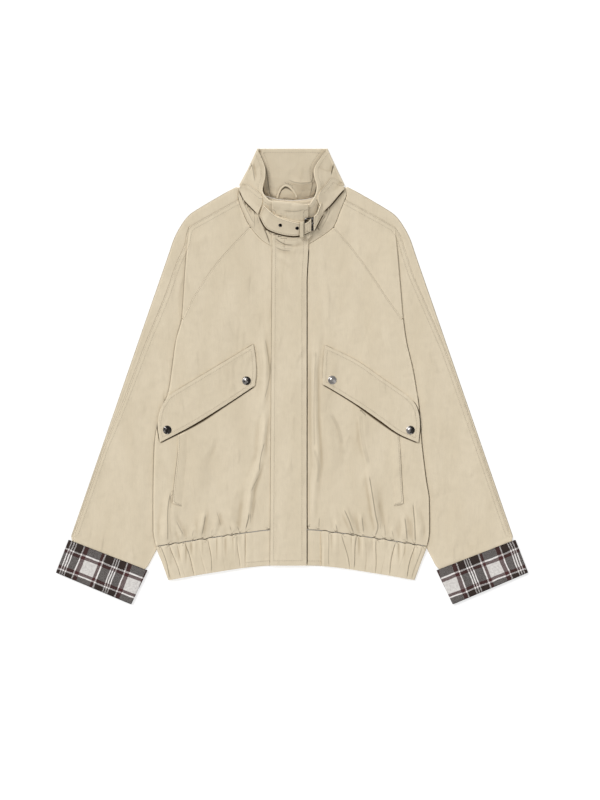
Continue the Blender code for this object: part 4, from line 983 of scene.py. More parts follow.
def sleeve_front(side):
    sign = SIDES[side]
    # On the body, from the neckline and the raglan seam to the shoulder seam and the fold.
    rows = dense([SHOULDER_TOP, 274, 262, 250, *SLEEVE_ROWS[:8]])
    rows[rows == RAGLAN_END_Y] += 2 * SEAM
    seam = np.where(rows >= TUCK_Y, neck(rows, side), raglan(rows, side)) + SEAM / 2
    edge = (
        fold_reach(side, rows) - TURN * np.sin(np.minimum(tuck_turn(rows), math.pi / 2))
        - SEAM / 2 * (rows == TUCK_Y)
    )
    end = np.where(rows > TUCK_Y, shoulder(rows, side) - SEAM / 2, edge)
    seam = np.minimum(seam, end)
    reach = rays(seam, end, across(75, STEP))
    x, y = sign * reach, np.broadcast_to(rows[:, None], reach.shape)
    ridge = np.array([(sign * shoulder(v, side), v) for v in SHOULDER_Y])
    z = rolled(
        front_z(x, y), far(x, y, RAGLAN_LINES[side]), far(x, y, NECK_LINES[side]) * 2, far(x, y, ridge),
    )
    z[:, -1] = np.where(rows > TUCK_Y, z[:, -1], front_z(x, y)[:, -1])
    panel = surface(x, y, z)
    # The fold down to the sleeve's upper layer.
    every = dense(SLEEVE_ROWS)
    rows = every[every >= UNDERARM_Y].copy()
    rows[rows == RAGLAN_END_Y] += 2 * SEAM
    path, above = tuck(rows, fold_reach(side, rows) - SEAM / 2 * (rows == TUCK_Y))
    z = sleeve_z(sign * path[:, -1:], rows[:, None]) + above
    off = front_z(sign * path[:, 0], rows) - z[:, 0]
    z = z + off[:, None] * np.clip(1 - np.arange(z.shape[1]) / 5, 0, 1)
    first = surface(sign * path, np.broadcast_to(rows[:, None], path.shape), z)
    turn, under = first[rows > RAGLAN_END_Y, :5], first[:, 4:].copy()
    start = follow(RAGLAN_HIDDEN, "reach", rows) - SEAM
    for i in np.where(rows <= RAGLAN_END_Y + 1)[0]:
        under[i, :4, 0] = sign * np.linspace(max(start[i], path[i, 7] + 0.5), path[i, 7], 4)
    flat = sleeve_z(under[..., 0], under[..., 1]) + 2 * TURN
    under[:, :4, 2] = np.where(tuck_turn(rows)[:, None] > 3.1, flat[:, :4], under[:, :4, 2])
    turn[:, -1] = under[: len(turn), 0]
    # Below the underarm it starts at the underarm seam, on the board.
    low_rows = every[every < UNDERARM_Y]
    slip, y_in = squeezed(low_rows), inner_row(low_rows)
    inner = inner_reach(y_in) + NARROWER * slip
    high = sleeve_z(sign * (inner + SLEEVE_TURN), y_in)
    high = high + (CUFF_HIGH - high) * slip
    reach, z = arc(inner + SLEEVE_TURN, FLOOR + (CUFF_LOW - FLOOR) * slip, high, SLEEVE_TURN, -1)
    hem = surface(sign * reach[:, ::-1], y_in[:, None], z[:, ::-1])
    # The sleeve's upper layer, from the fold or the underarm seam to the overarm seam.
    starts = np.concatenate([np.abs(under[:, -1, 0]), inner + SLEEVE_TURN])
    ys_in, rows_all = np.concatenate([rows, y_in]), np.concatenate([rows, low_rows])
    slip = squeezed(rows_all)
    ends = overarm(rows_all, side) - SEAM / 2 - NARROWER * slip
    ends[0] = starts[0]
    f = across(110, 2.8)
    reach, y = rays(starts, ends, f), rays(ys_in, rows_all, f)
    z = rolled(sleeve_z(sign * reach, y), ends[:, None] - reach)
    z = z + (CUFF_HIGH - z) * slip[:, None]
    z[: len(rows), 0] = under[:, -1, 2]
    z[len(rows) :, 0] = hem[:, -1, 2]
    return [panel, turn, under, hem, surface(sign * reach, y, z)]


def sleeve_back(side):
    sign = SIDES[side]
    rows = np.concatenate([dense([303, 298, 290, SHOULDER_TOP, 274, 262, 250, 243], 3), dense(SLEEVE_ROWS)])
    rows[rows == UNDERARM_Y] += 1.5
    slip, y_in = squeezed(rows), inner_row(rows)
    outer = outer_reach(rows) - NARROWER * slip - SLEEVE_TURN
    seam = np.where(
        rows > SHOULDER_TOP, neck(rows, side),
        np.where(rows >= TUCK_Y, shoulder(rows, side), overarm(rows, side) - NARROWER * slip),
    )
    seam = np.minimum(seam + SEAM / 2 + 1.5 * SEAM * ((rows <= TUCK_Y) & (rows >= 226)), outer - 0.1)
    high = np.where(rows > 241, front_z(sign * outer, rows), sleeve_z(sign * outer, rows))
    high = np.minimum(high, 3.6) * (1 - slip) + CUFF_HIGH * slip
    low = FLOOR + (CUFF_LOW - FLOOR) * slip
    reach = rays(seam, outer, across(16, 3, 1.2))
    y = np.broadcast_to(rows[:, None], reach.shape)
    z = np.where(y > 239, front_z(sign * reach, y), sleeve_z(sign * reach, y))
    z = rolled(z + (CUFF_HIGH - z) * slip[:, None], reach - seam[:, None])
    z[:, -1] = high
    strip = surface(sign * reach, y, z)
    reach, z = arc(outer, low, high, SLEEVE_TURN, 1)
    turn = surface(sign * reach, rows[:, None], z)
    top = np.interp(rows, NECK_BACK["y"], NECK_BACK["reach"])
    under_seam = inner_reach(y_in) + SLEEVE_TURN + NARROWER * slip + SEAM
    inner = (
        np.where(rows > 298, top + 4 * SEAM, np.where(rows >= UNDERARM_Y, raglan_back(rows), under_seam))
        + SEAM / 2
    )
    f = np.linspace(0, 1, 16)
    return [strip, turn, surface(sign * rays(outer, inner, f), rays(rows, y_in, f), low[:, None])]


# How dark the fold is beside the body's middle and its lower part.
FOLD_SHADE = {"left": (0.55, 0.85), "right": (0.35, 0.45)}
for side, sign in SIDES.items():
    ridge = (
        [(sign * shoulder(v, side), v) for v in SHOULDER_Y[::-1]]
        + [(sign * overarm(v, side), v) for v in dense([239, -250], 12)]
    )
    fold = [
        (sign * (fold_reach(side, v) + 0.6), v)
        for v in np.concatenate([np.linspace(204, 97, 7), np.linspace(91, -270, 19)])
    ]
    # Painted shadow lines along the sleeve's outer edge, the overarm seam, the fold where it tucks under the
    # body, and the seams at the neck.
    edge = [(sign * (float(outer_reach(v)) - 0.2), v) for v in dense([298, -262], 9)]
    seam = gap(ridge, 0.6, 0.22)
    cloth(
        f"sleeve_back_{side}", sleeve_back(side), CLOTH, (215, 690), 0.56, gaps=[gap(edge, 0.8, 0.35), seam],
    )
    middle, low = FOLD_SHADE[side]
    gaps = [
        gap(fold[:8], 1.5, 0.32, 4.9), gap(fold[6:14], 1.5, middle), gap(fold[13:], 1.5, low), seam,
        gap(RAGLAN_LINES[side], 0.5, 0.22), gap(NECK_LINES[side][6:12], 0.7, 0.4),
    ]
    cloth(
        f"sleeve_front_{side}", sleeve_front(side), CLOTH, (200, 690), 0.6, gaps=gaps,
        rests_on=[f"sleeve_back_{side}"], stitched=[ridge], rows=(1.8, 7.2),
    )

# ---- The hem band ----------------------------------------------------------------------------------------
# A doubled strip of twill over elastic, gathered in uneven pleats between two flat tabs at the front, with
# its back half on the board.

HEM_EDGE = table("reach y", "0 -303.5, 35 -303.6, 65 -305.8, 130 -315.3, 198 -327")
BAND, BAND_LOW, BAND_HIGH, TAB_LENGTH = 2.0, 1.02, 5.0, 56


def hem_y(reach):
    return follow(HEM_EDGE, "y", reach)


# Creases of the band: how far out each starts at the seam and ends at the lower edge, and how sharp it is.
PLEATS = {
    "right": drawn("""
        88 84 0.9, 112 108 0.5, 134 128 1.1, 150 139 0.5, 172.5 155 1.5, 186 170 0.6, 196 178.5 1.3,
        209.5 195 1.2
    """),
    "left": drawn("""
        57 60 0.7, 80 92.8 1.3, 104 98 1.4, 118 117 0.5, 136 132.8 1.3, 150 143 0.5, 166 154.6 1.4,
        182 168 0.6, 197 182.9 1.5, 208 192 0.8
    """),
}


def pleat_at(start, end, t):
    return start + (end - start) * t + 1.2 * np.sin(5 * t + start)


def pleats_z(reach, t, side):
    """Low puffs between narrow slanted creases, each with one steep side."""
    start, end, sharp = np.array(PLEATS[side]).T
    t = np.asarray(t)[..., None]
    off = np.asarray(reach)[..., None] - pleat_at(start, end, t)
    sharp = sharp * (0.6 + 0.4 * np.sin(4 * t + start * 1.7))
    crease = (sharp * (np.exp(-np.abs(off) / np.where(off > 0, 4.5, 0.9)))).max(-1)
    t = t[..., 0]
    return (
        1.25 - 1.55 * crease + 0.22 * np.sin(reach / 4.7 + 3 * t + 2 * np.sin(reach / 17))
        + 0.3 * np.sin(reach / 11 - 3 * t) + 0.12 * np.sin(reach / 1.9) * np.exp(-t * 9)
    )


def band_z(x, y, t):
    """Middle of the band's front layer; t runs from its seam to its lower edge."""
    top = front_z(x, np.maximum(y, seam_y(np.abs(x)) + 4))
    return top + (BAND_HIGH - top) * ease(t * 1.1) + 0.25 * ease(t * 4)


def hem_band():
    rows = np.concatenate([[0, 0.02], np.linspace(0.06, 0.95, 20), [0.985, 1]])[:, None]

    def front_layer(side):
        sign = SIDES[side]
        corner = fold_under(sign * 200, seam_y(SIDE) + (hem_y(200) - seam_y(SIDE)) * rows)
        f = np.linspace(0, 1, 200)[None]
        reach = TAB_ENDS[side] + SEAM + f * (corner - BAND_TURN - TAB_ENDS[side] - SEAM)
        upper = seam_y(reach) - SEAM + ragged(reach, side)
        y = upper + (hem_y(reach) - upper) * rows
        size = (
            ease(np.minimum(f * 30, (1 - f) * 16))
            * (0.45 + 0.55 * np.sin(math.pi * np.clip(rows, 0.12, 0.88)))
        )
        z = band_z(sign * reach, y, rows) + size * pleats_z(reach, np.broadcast_to(rows, reach.shape), side)
        return surface(sign * reach, y, z - 0.5 * np.exp(-rows * 40))

    right, left = front_layer("right"), front_layer("left")
    turns = []
    for side, layer in (("right", right), ("left", left)):
        end = layer[:, -1]
        low = np.minimum(np.maximum(BAND_LOW, ground_z(end[:, 0], end[:, 1]) + 0.5), end[:, 2] - 2.6)
        reach, z = arc(np.abs(end[:, 0]), low, end[:, 2], BAND_TURN, 1)
        turns.append(surface(SIDES[side] * reach, end[:, 1:2], z))
    a, b = turns[0][:, -1], turns[1][:, -1]
    x = a[:, :1] + np.linspace(0, 1, 60)[None] * (b[:, :1] - a[:, :1])
    upper = seam_y(np.abs(x[0])) - SEAM
    y = upper + (hem_y(np.abs(x)) - upper) * rows
    back_layer = surface(x, y, np.maximum(BAND_LOW, ground_z(x, y) + 0.5))
    back_layer[:, 0], back_layer[:, -1] = a, b
    return [right[:, ::-1], turns[0], back_layer, turns[1], left]


# Painted shadow lines along the hem seam and down the band's sharper pleats.
band_shadow_lines = [gap(hem_line(side), 0.9, 0.9) for side in SIDES]
for side, sign in SIDES.items():
    for start, end, sharp in PLEATS[side]:
        if sharp > 0.6:
            t = np.linspace(0.03, 0.97, 12)
            reach = pleat_at(start, end, t)
            band_shadow_lines.append(
                gap(
                    np.stack([sign * reach, seam_y(reach) * (1 - t) + hem_y(reach) * t], axis=1), 0.8,
                    0.38 * sharp,
                )
            )
cloth(
    "hem_band", hem_band(), BAND, (860, 58), gaps=band_shadow_lines, held="gathered",
    rests_on=["back", "front_right", "front_left"],
)
for side, sign in SIDES.items():
    reach = 0.6 + across(TAB_ENDS[side], STEP)[None] * (TAB_ENDS[side] - 0.6)
    t = across(TAB_LENGTH, STEP)[:, None]
    upper = seam_y(reach) - SEAM
    y = upper + (hem_y(reach) + 0.4 - upper) * t
    z = rolled(
        band_z(sign * reach, y, t * 0), np.minimum(t * TAB_LENGTH, np.abs(TAB_ENDS[side] - reach)) + 0 * y,
    )
    lower = [(sign * v, float(hem_y(v))) for v in np.linspace(0, TAB_ENDS[side], 9)]
    # Painted shadow lines at the hem seam and beside the storm flap.
    cloth(
        f"hem_tab_{side}", [surface(sign * reach, y, z)], DOUBLE, (TAB_ENDS[side] + 1, 59),
        rests_on=["hem_band"], gaps=[gap(hem_line(side), 0.9, 0.9), beside_flap(side)], stitched=[lower],
        rows=(7.5,),
    )

# ---- The cuffs -------------------------------------------------------------------------------------------
# The sleeve's checked cotton facing, turned back over each sleeve end as a flat tube: a traditional check
# of charcoal and off-white blocks with fine white lines.

CUFF = {
    "outer top": (357.6, -262.4), "outer end": (378, -315), "inner end": (258.6, -365.3),
    "inner top": (232.6, -310.9),
}
CUFF_LENGTH = 57
CHARCOAL = (0.040, 0.028, 0.024)
BROWN = (0.082, 0.032, 0.032)
CREAM = (0.85, 0.835, 0.815)
THREAD = (0.97, 0.94, 0.92)
FINE = [(1.8, THREAD), (2.1, CHARCOAL)]
# The stripes of each direction in turn: width and yarn.
WARP = [
    (4.8, CHARCOAL), *FINE, *FINE, (1.8, THREAD), (12.0, CHARCOAL), (2.0, THREAD), (7.0, BROWN),
    (22.6, CREAM), (4.8, BROWN), (2.2, THREAD), (9.5, CHARCOAL),
]
WEFT = [
    (12.6, CHARCOAL), (2.6, THREAD), (5.2, BROWN), (21.6, CREAM), (5.0, BROWN), (2.4, THREAD),
    (25.0, CHARCOAL),
]


def checked():
    look = Look("Checked cotton", Roughness=0.88, Sheen_Weight=0.02, Specular_IOR_Level=0.15)
    spot, x, y, z = look.place()
    start = CUFF["outer top"]
    c, s = (float(v) for v in unit(np.array(CUFF["inner top"]) - start))
    fuzz = look.noise(spot, 0.8) * 0.5 + look.noise(spot, 24, 1.0) * 3.0 - 1.5

    def stripes(at, chart):
        ends = np.cumsum([width for width, _ in chart])
        stops = [(end / ends[-1], yarn) for end, (_, yarn) in zip([0, *ends], chart)]
        return look.node(
            "ShaderNodeValToRGB", {"steps": "CONSTANT", "stops": stops},
            {"Fac": (at + fuzz) % float(ends[-1]) / float(ends[-1])},
        )

    warp = stripes((abs(x) - start[0]) * c + (y - start[1]) * s, WARP)
    weft = stripes((y - start[1]) * c - (abs(x) - start[0]) * s, WEFT)
    wale = ((x * 0.8 + y * 0.6 + z) * (2 * math.pi / HEAVY_WALE)).wave()
    woven = look.mix(wale.between(-0.35, 0.35) * 0.9 + 0.05, warp, weft)
    bright = [look.node("ShaderNodeRGBToBW", {}, {0: yarn}) for yarn in (warp, weft)]
    lightest = bright[0].sum("MAXIMUM", *bright)
    colour = look.coats(
        woven,
        (
            lightest.between(0.1, 0.4) * 0.74 - lightest.between(0.86, 0.92) * 0.5,
            look.mix(1.0, warp, weft, "MULTIPLY"),
        ), (look.noise(spot, 1.3, 3.0).between(0.45, 0.6) * 0.35, (0.75, 0.70, 0.71), "MULTIPLY"),
        (look.noise(spot, 3.5, 4.0).between(0.35, 0.7) * 0.45, (0.62, 0.60, 0.60), "MULTIPLY"),
        # Painted shade: darker in the creases and along the cuff's rolled edges.
        (look.mark("hollow").between(0, 1) * 0.5 + look.mark("rim") * 0.75, (0.012, 0.008, 0.008)),
    )
    height = wale * 0.03 + look.noise(spot, 6, 3.0) * 0.8
    return look.finish(Base_Color=colour, Roughness=0.82 + wale * 0.05, Normal=look.bump(height))


check = checked()


def cuff(side):
    sign = SIDES[side]
    outer_top, outer_end, inner_end, inner_top = (np.array(p) for p in CUFF.values())
    way = unit(outer_top - inner_top)
    radius, low, high = 2.2, DOUBLE / 2, 6.3
    turn = np.linspace(-math.pi / 2, math.pi / 2, 9)
    middle, tall = (low + high) / 2, (high - low) / 2
    rows = []
    for t in across(CUFF_LENGTH, STEP):
        a = inner_top + t * (inner_end - inner_top) + way * radius
        b = outer_top + t * (outer_end - outer_top) - way * radius
        flat = np.linspace(0, 1, 52)[:, None]
        swell = (
            np.sin(math.pi * flat[:, 0]) ** 0.5 * (
                0.35 * np.sin(flat[:, 0] * 9 + 2 * t + sign) + 0.3 * np.sin(flat[:, 0] * 17 - 3 * t)
            ) - 0.5 * (np.exp(-t * CUFF_LENGTH / 1.5) + np.exp(-(1 - t) * CUFF_LENGTH / 1.5))
        )
        ring = [(*p, low) for p in a + flat * (b - a)]
        ring += [(*(b + way * radius * math.cos(v)), middle + tall * math.sin(v)) for v in turn[1:-1]]
        ring += [(*p, high + w) for p, w in zip(b + flat * (a - b), swell)]
        ring += [(*(a - way * radius * math.cos(v)), middle - tall * math.sin(v)) for v in turn[1:-1]]
        rows.append([(sign * x, y, z) for x, y, z in ring + ring[:1]])
    return [np.array(rows)]


for side in SIDES:
    cloth(
        f"cuff_{side}", cuff(side), DOUBLE, (280, 60), held="folded", rests_on=[f"sleeve_front_{side}"],
        look=check, slot="check",
    )

# ---- The collar ------------------------------------------------------------------------------------------
# A tall stand collar, stiffened and topstitched along its upper edge. It lies flat as a pressed ring: the
# inside of its back shows, and its front rises to the throat.

COLLAR_TOP = {
    "right": drawn("""
        -0.2 277.4, -32 281.2, -40.3 285.9, -46.7 294.6, -47.4 302.1, -43.5 318.1, -43.2 333.3, -46.7 345,
        -54.9 364.6
    """),
    "left": drawn("""
        0.2 276, 26.1 276.4, 31 280.6, 37.9 292.3, 40 305.3, 36.8 316, 35.2 326.9, 36.8 336.5, 45.4 350.2,
        56 364.6
    """),
}
COLLAR_SIDE = table("y right left", """
    306 84 83.7, 322 75.4 75.9, 333 69.3 70.6, 346 63.4 64.6, 364.6 54.9 56
""")
COLLAR_BACK_Y, COLLAR_LIFT, COLLAR_TURN, COLLAR_LOW = 365.2, 27.0, 2.5, STAND / 2 + 0.02
COLLAR_FOLDS = curves("""
    -66 346, -63 330, -60 312: 6 1.6 1; 68 342, 66 333, 64 322: 6 1.5 -1; -81 283, -72 264,
    -62 248: 6 1.4 1; -61 262, -60.4 250, -58 238: 5 1.3 1; 56 262, 50 246, 44 232: 6 1.4 -1; 66 272,
    60 256, 52 242: 6 1.2 -1; -52 330, -50 312, -52 296: 4 0.9 1; 44 330, 44 312, 46 300: 4 0.9 -1;
    -70 322, -58 312: 5 0.7; 58 352, 52 330, 56 312: 5 0.7; -52 340, -54 316, -60 300: 5 0.6; -76 300,
    -62 294: 5 -0.6; 70 306, 58 296: 5 -0.5; -40 262, -20 258, -2 262: 4 0.5; 46 318, 48 300: 4 -0.7
""")


BACK_FOLDS = curves("""
    -8 316.5, 2 312, 13 309.5, 26 310.5, 37 314: 7 1.7 -1; -38 322, -22 318, -6 320: 6 0.6; 20 340, 24 326,
    22 314: 6 0.5
""")


def collar_edges(side, rows=NECK_ROWS, rise=7):
    """Its lower boundary (neck seam, then the fold at the side) and its upper edge, from the centre to the
    corner."""
    sign = SIDES[side]
    seam = [(sign * (neck(y, side) - SEAM - 0.3), y) for y in rows]
    seam[0] = (sign * 0.3, rows[0] + 0.8)
    seam[-1] = (sign * (follow(COLLAR_SIDE, side, NECK_POINT_Y) - COLLAR_TURN), NECK_POINT_Y)
    up = [
        (sign * (follow(COLLAR_SIDE, side, y) - COLLAR_TURN), y)
        for y in np.linspace(NECK_POINT_Y, COLLAR_BACK_Y, rise)[1:]
    ]
    lower = np.array(seam + up, float)
    upper = spline(COLLAR_TOP[side], 40)
    upper[:, 0] = sign * np.maximum(sign * upper[:, 0], 0.3)
    upper[-1] = lower[-1]
    return lower, upper


COLLAR_LINES = {side: collar_edges(side) for side in SIDES}


def neck_side(x, y, side):
    """1 on the collar's side of the neck seam, 0 on the body's."""
    edge = np.where(
        y < NECK_POINT_Y, neck(np.clip(y, THROAT_Y, NECK_POINT_Y), side), follow(COLLAR_SIDE, side, y) - 2,
    )
    return ((np.abs(x) < edge + 0.5) & (y > 206)).astype(float)


def collar_z(x, y):
    """Middle of the collar's front: level along the neck seam, rising towards its upper edge."""
    x, y = plan(x, y)
    total = np.zeros(x.shape)
    for side, sign in SIDES.items():
        lower, upper = COLLAR_LINES[side]
        low, (top, near) = far(x, y, lower), distance(x, y, upper)[:2]
        up = low / (low + top + 1e-6)
        share = np.clip((near[..., 1] - 277) / (COLLAR_BACK_Y - 277), 0, 1)
        lift = COLLAR_LIFT * (1 - ease(share**0.8))
        total = np.where(
            (x + 1e-9 < 0) == (sign < 0), COLLAR_FOOT + lift * up**1.35 * neck_side(x, y, side), total,
        )
    return total


def collar():
    patches = []
    for side, sign in SIDES.items():
        rise = np.linspace(NECK_POINT_Y, COLLAR_BACK_Y, 37)
        lower = collar_edges(side, dense(NECK_ROWS, STEP), 37)[0]
        upper = COLLAR_LINES[side][1]
        at, along = lengths(lower), lengths(upper)
        top = points_at((at / at[-1]) ** 0.9, along / along[-1], upper)
        v = across(60, 2.4)[None, :, None]
        grid = lower[:, None] * (1 - v) + top[:, None] * v
        x, y = grid[..., 0], grid[..., 1]
        z = collar_z(x, y)
        z[:, 0] = z[-1] = COLLAR_FOOT
        fade = (
            ease(np.minimum(v[0, :, 0] * 8, 1))
            * ease((len(lower) - 1 - np.arange(len(lower)))[:, None] / 6)
        )
        z = z + fade * (folds_z(x, y, COLLAR_FOLDS) + rumple(x, y, 90, 0.3))
        edge = lower[len(lower) - len(rise) :]
        reach, low = arc(np.abs(edge[:, 0]), COLLAR_LOW + 0 * rise, COLLAR_FOOT + 0 * rise, COLLAR_TURN, 1)
        patches += [np.concatenate([grid, z[..., None]], axis=2), surface(sign * reach, rise[:, None], low)]
    f = np.linspace(-1, 1, 96)[None]
    rows = np.concatenate([[0], rise])[:, None]
    right, left = (np.abs(patches[k][:, 0, 0]) for k in (1, 3))
    right, left = (np.concatenate([[e[0]], e])[:, None] for e in (right, left))
    x = np.where(f < 0, f * right, f * left)
    y = np.broadcast_to(rows, x.shape).copy()
    y[0] = follow(NECK_BACK, "y", np.abs(x[0])) + 0.5
    y[1] = np.maximum(NECK_POINT_Y, y[0] + 3)
    y[1, 0] = y[1, -1] = y[0, 0] = y[0, -1] = NECK_POINT_Y
    z = COLLAR_LOW + folds_z(x, y, BACK_FOLDS) * ease((rows - 1) / 4)
    return patches + [surface(x, y, z)]


STRAP_HIGH = drawn("""
    -45.2 274.5, -35.5 265.5, -25.6 257.6, -12 252, 1.3 248.1, 12 245.8, 20 245.2, 25 247, 30.6 253.3
""")
STRAP_LOW = drawn("""
    -51.8 259.4, -47.4 248, -40.7 237.9, -29.1 231.8, -14 227.4, 2.4 225.4, 14 226.6, 22 228.8, 30.6 233.4
""")
SHORT_LOW = drawn("50.5 262.2, 45.5 254, 41 245, 37.8 238, 35 233")
WINGS = {
    "right": drawn_all(
        top="-82 309, -71 309, -60.6 301.9, -49.1 292.2",
        bottom="-84.6 299.5, -77 284, -66.5 272.5, -54.7 260.5",
        start="-82 309, -83.6 304, -84.6 299.5",
        end="-49.1 292.2, -47.8 279, -54.7 260.5",
    ),
    "left": drawn_all(
        top="79 312.5, 64.3 318.4, 54.4 307.7, 46.1 298.7",
        bottom="83.6 300.5, 73.5 289.5, 62.5 276.3, 49.6 263.7",
        start="79 312.5, 82 306, 83.6 300.5",
        end="46.1 298.7, 41 284, 49.6 263.7",
    ),
}
LOOP = drawn("-23.7 285.5, -22 293, -17.6 301.5, -11.2 306.2, -4.6 304.2, 1.6 298, 5.8 291.5, 8 286.5")
# Painted shade lines of the collar's sharp creases: points along each, half width, depth.
NECK_CREASE_SHADOWS = curves("""
    66.3 341, 64.8 331, 62.5 322: 1.1 0.8; -46 241, -40 227, -35.6 213: 1 0.7; 42.5 288, 44 280,
    48 270: 1.2 0.8; 39 278, 41 270, 38.5 258: 1 0.45; -65 344, -62.5 330, -59 312: 0.9 0.35; -80 284,
    -71 264, -61 246: 0.8 0.3; -60.5 260, -60 238: 0.8 0.3; 62 268, 55 252, 47 238: 0.9 0.3; -6 315,
    4 311.5, 14 309.8, 26 310.6, 36 313.5: 0.9 0.3
""")
ONLY_BACK = 4  # a dark line below this height falls on the collar's back alone
# Painted shadow lines: under the strap and its edges, and on the collar under the wings and the hanger loop,
# inside its opening and along its creases.
strap_gaps = [gap(spline(STRAP_LOW, 40), 2.8), gap(spline(STRAP_HIGH, 40)[8:], 1.0, 0.8)]
collar_gaps = strap_gaps + [
    gap(spline(SHORT_LOW, 20), 2.4),
    gap([(-42.4, 336.5), (-37.1, 302.9), (-33.9, 285.9)], 0.9, 0.6, ONLY_BACK),
    gap([(33.6, 330), (33, 310), (29.3, 285)], 0.9, 0.5, ONLY_BACK),
    *(gap(*crease) for crease in NECK_CREASE_SHADOWS),
    gap(spline(LOOP, 30) + (0.2, -0.7), 2.5, 0.9, ONLY_BACK),
]
for side, wide in (("right", 2.3), ("left", 2.8)):
    upper = COLLAR_LINES[side][1]
    collar_gaps += [
        gap(spline(WINGS[side]["bottom"], 20), wide), gap(spline(WINGS[side]["end"], 20)[4:], 1.2, 0.8),
        gap(upper[:26], 1.0, 0.8, ONLY_BACK), gap(upper[26:], 0.8, 0.35, ONLY_BACK),
    ]
edges = (
    [COLLAR_LINES[side][1] for side in SIDES] + [np.array([(-54.0, COLLAR_BACK_Y), (54.0, COLLAR_BACK_Y)])]
)
cloth(
    "collar", collar(), STAND, (430, 90), 0.72, held="folded", rests_on=["back"], look=collared,
    gaps=collar_gaps, stitched=edges, rows=(6.2,),
)

# ---- The storm flap --------------------------------------------------------------------------------------
# A doubled strip of twill down the front that covers the opening. Its left edge is sewn down and its right
# edge is free; it runs up over the collar to the throat.


def top_z(x, y):
    """Middle of whatever lies at the neck: the collar on its side of the seam, the fronts on theirs."""
    x, y = plan(x, y)
    where = np.where(x < 0, neck_side(x, y, "right"), neck_side(x, y, "left"))
    return np.where(
        where > 0.5, collar_z(x, y) + (STAND - CLOTH) / 2,
        np.maximum(front_z(x, y), COLLAR_FOOT + (STAND - CLOTH) / 2),
    )


def over(base, thick):
    """Height of the middle of a piece that lies on another whose middle is at base."""
    return base + CLOTH / 2 + GAP + thick / 2


FLAP_FOLDS = curves("""
    -28 273, -12 268, 8 267, 23 271: 5 1.5 -1; -30 262, -10 258, 12 259: 4 1.1 -1; -29 226, -19 218,
    -8 213.5, 3 213, 15 219: 7 2 -1; -28 211, -14 205, 4 204: 6 1.5 -1; -27 196, -12 187, 6 176: 7 1.2 -1;
    -23 180, -5 162, 11 137: 6 0.8; -28 150, -8 128: 7 0.6; 4 60, 10 -20: 10 0.6; -14 -120,
    -18 -220: 10 0.6; 14 -180, 8 -262: 8 0.5
""")
# Painted shade lines of the creases at the throat: points along each, and depth.
THROAT_CREASE_SHADOWS = curves("""
    -27 222, -19 216, -9 211.5, 2 211: 0.55; -27 207.5, -15 202.5, -2 201.5: 0.35; -14 266, 6 265,
    20 268.5: 0.3; -29 260, -12 256.5: 0.3
""")
FLAP = 1.6  # its two layers, pressed


def placket():
    y = dense(
        [
            HEM_FOOT, -302.8, -290, -260, -220, -100, 20, 140, 185, 200, 207, 214, 222, 231, 240, 249, 258,
            266, 272, 278.2, 279,
        ], STEP,
    )[:, None]
    left, right = flap_edges(y)
    x = left + across(59, 2.3)[None] * (right - left)
    f = (x - left) / (right - left)
    y = np.broadcast_to(y, x.shape) + np.clip((y - 272) / 7, 0, 1) * (2.6 - 6.2 * f)
    front = over(front_z(x, y), FLAP)
    z = np.where(y < -235, front + 0.6, over(top_z(x, y), FLAP))
    rise = ease((207 - y) / 10)
    z = z * (1 - rise) + rise * (front + 0.6 * ease((-225 - y) / 12)) + 1.2 * ease((y - 208) / 30)
    low, creases = ease((200 - y) / 30), folds_z(x, y, FLAP_FOLDS)
    buckle = 0.35 * np.sin(y / 12 + 2 * np.sin(y / 41)) * ease((x - 8) / 14) + 0.2 * np.sin(y / 7.3)
    return [surface(x, y, z + creases + low * (0.3 + buckle * 0.7) - 0.25 * np.exp(-(x - left) / 1.5))]


def flap_line(edge, heights, inward=0.0):
    """A line down the storm flap's left (0) or right (1) edge."""
    return np.array([(flap_edges(v)[edge] - inward, v) for v in heights])


rows = np.linspace(HEM_FOOT, 262, 40)
# Painted shadow lines under the strap and along the throat's creases.
cloth(
    "placket", placket(), FLAP, (60, 590), rests_on=["front_right", "front_left", "collar"], look=collared,
    gaps=strap_gaps + [gap(spline(line, 12), 0.9, depth) for line, depth in THROAT_CREASE_SHADOWS],
    sewn=[flap_line(0, (-310, 150, 215))],
    stitched=[flap_line(0, rows), flap_line(1, rows, 1.8), [(-40, -301.5), (30, -301.5)]], rows=(5.6,),
)

# ---- Pocket flaps and welts ------------------------------------------------------------------------------
# Slanted doubled flaps, sewn down along their upper edge with two rows and held by two snaps each. Below
# them a narrow welt covers each hand opening.


def along(line, count, shares):
    """Points at shares of a smooth line's length."""
    return points_at(shares, np.linspace(0, 1, count), spline(line, count))


def coons(top, bottom, start, end, columns, rows):
    """Plan coordinates of a patch between four curves that meet at the corners."""
    u, v = across(columns * STEP, STEP), across(rows * STEP, STEP)
    t, b = along(top, 60, u), along(bottom, 60, u)
    s, e = along(start, 30, v)[:, None], along(end, 30, v)[:, None]
    u, v = u[:, None], v[:, None, None]
    corners = (t[0] * (1 - u) + t[-1] * u)[None] * (1 - v) + (b[0] * (1 - u) + b[-1] * u)[None] * v
    return np.moveaxis(t[None] * (1 - v) + b[None] * v + s * (1 - u) + e * u - corners, 2, 0)


def flap_z(x, y, bottom):
    """The flap stands a little proud along its free lower edge."""
    away = far(x, y, bottom)
    return (
        over(front_z(x, y), DOUBLE) + 0.25 + 0.5 * ease(1 - away / 30)
        + 0.2 * np.sin(x / 17) * ease(1 - away / 50)
    )


for side, lines in FLAPS.items():
    x, y = coons(**lines, columns=60, rows=26)
    z = flap_z(x, y, spline(lines["bottom"], 30))
    cloth(
        f"flap_{side}", [surface(x, y, z)], DOUBLE, (160, 74), 0.93, rests_on=[f"front_{side}"],
        sewn=[spline(lines["top"], 30), spline(lines["start"], 20)[:16]],
        stitched=[spline(line, 30) for line in lines.values()], rows=(5.4,),
    )

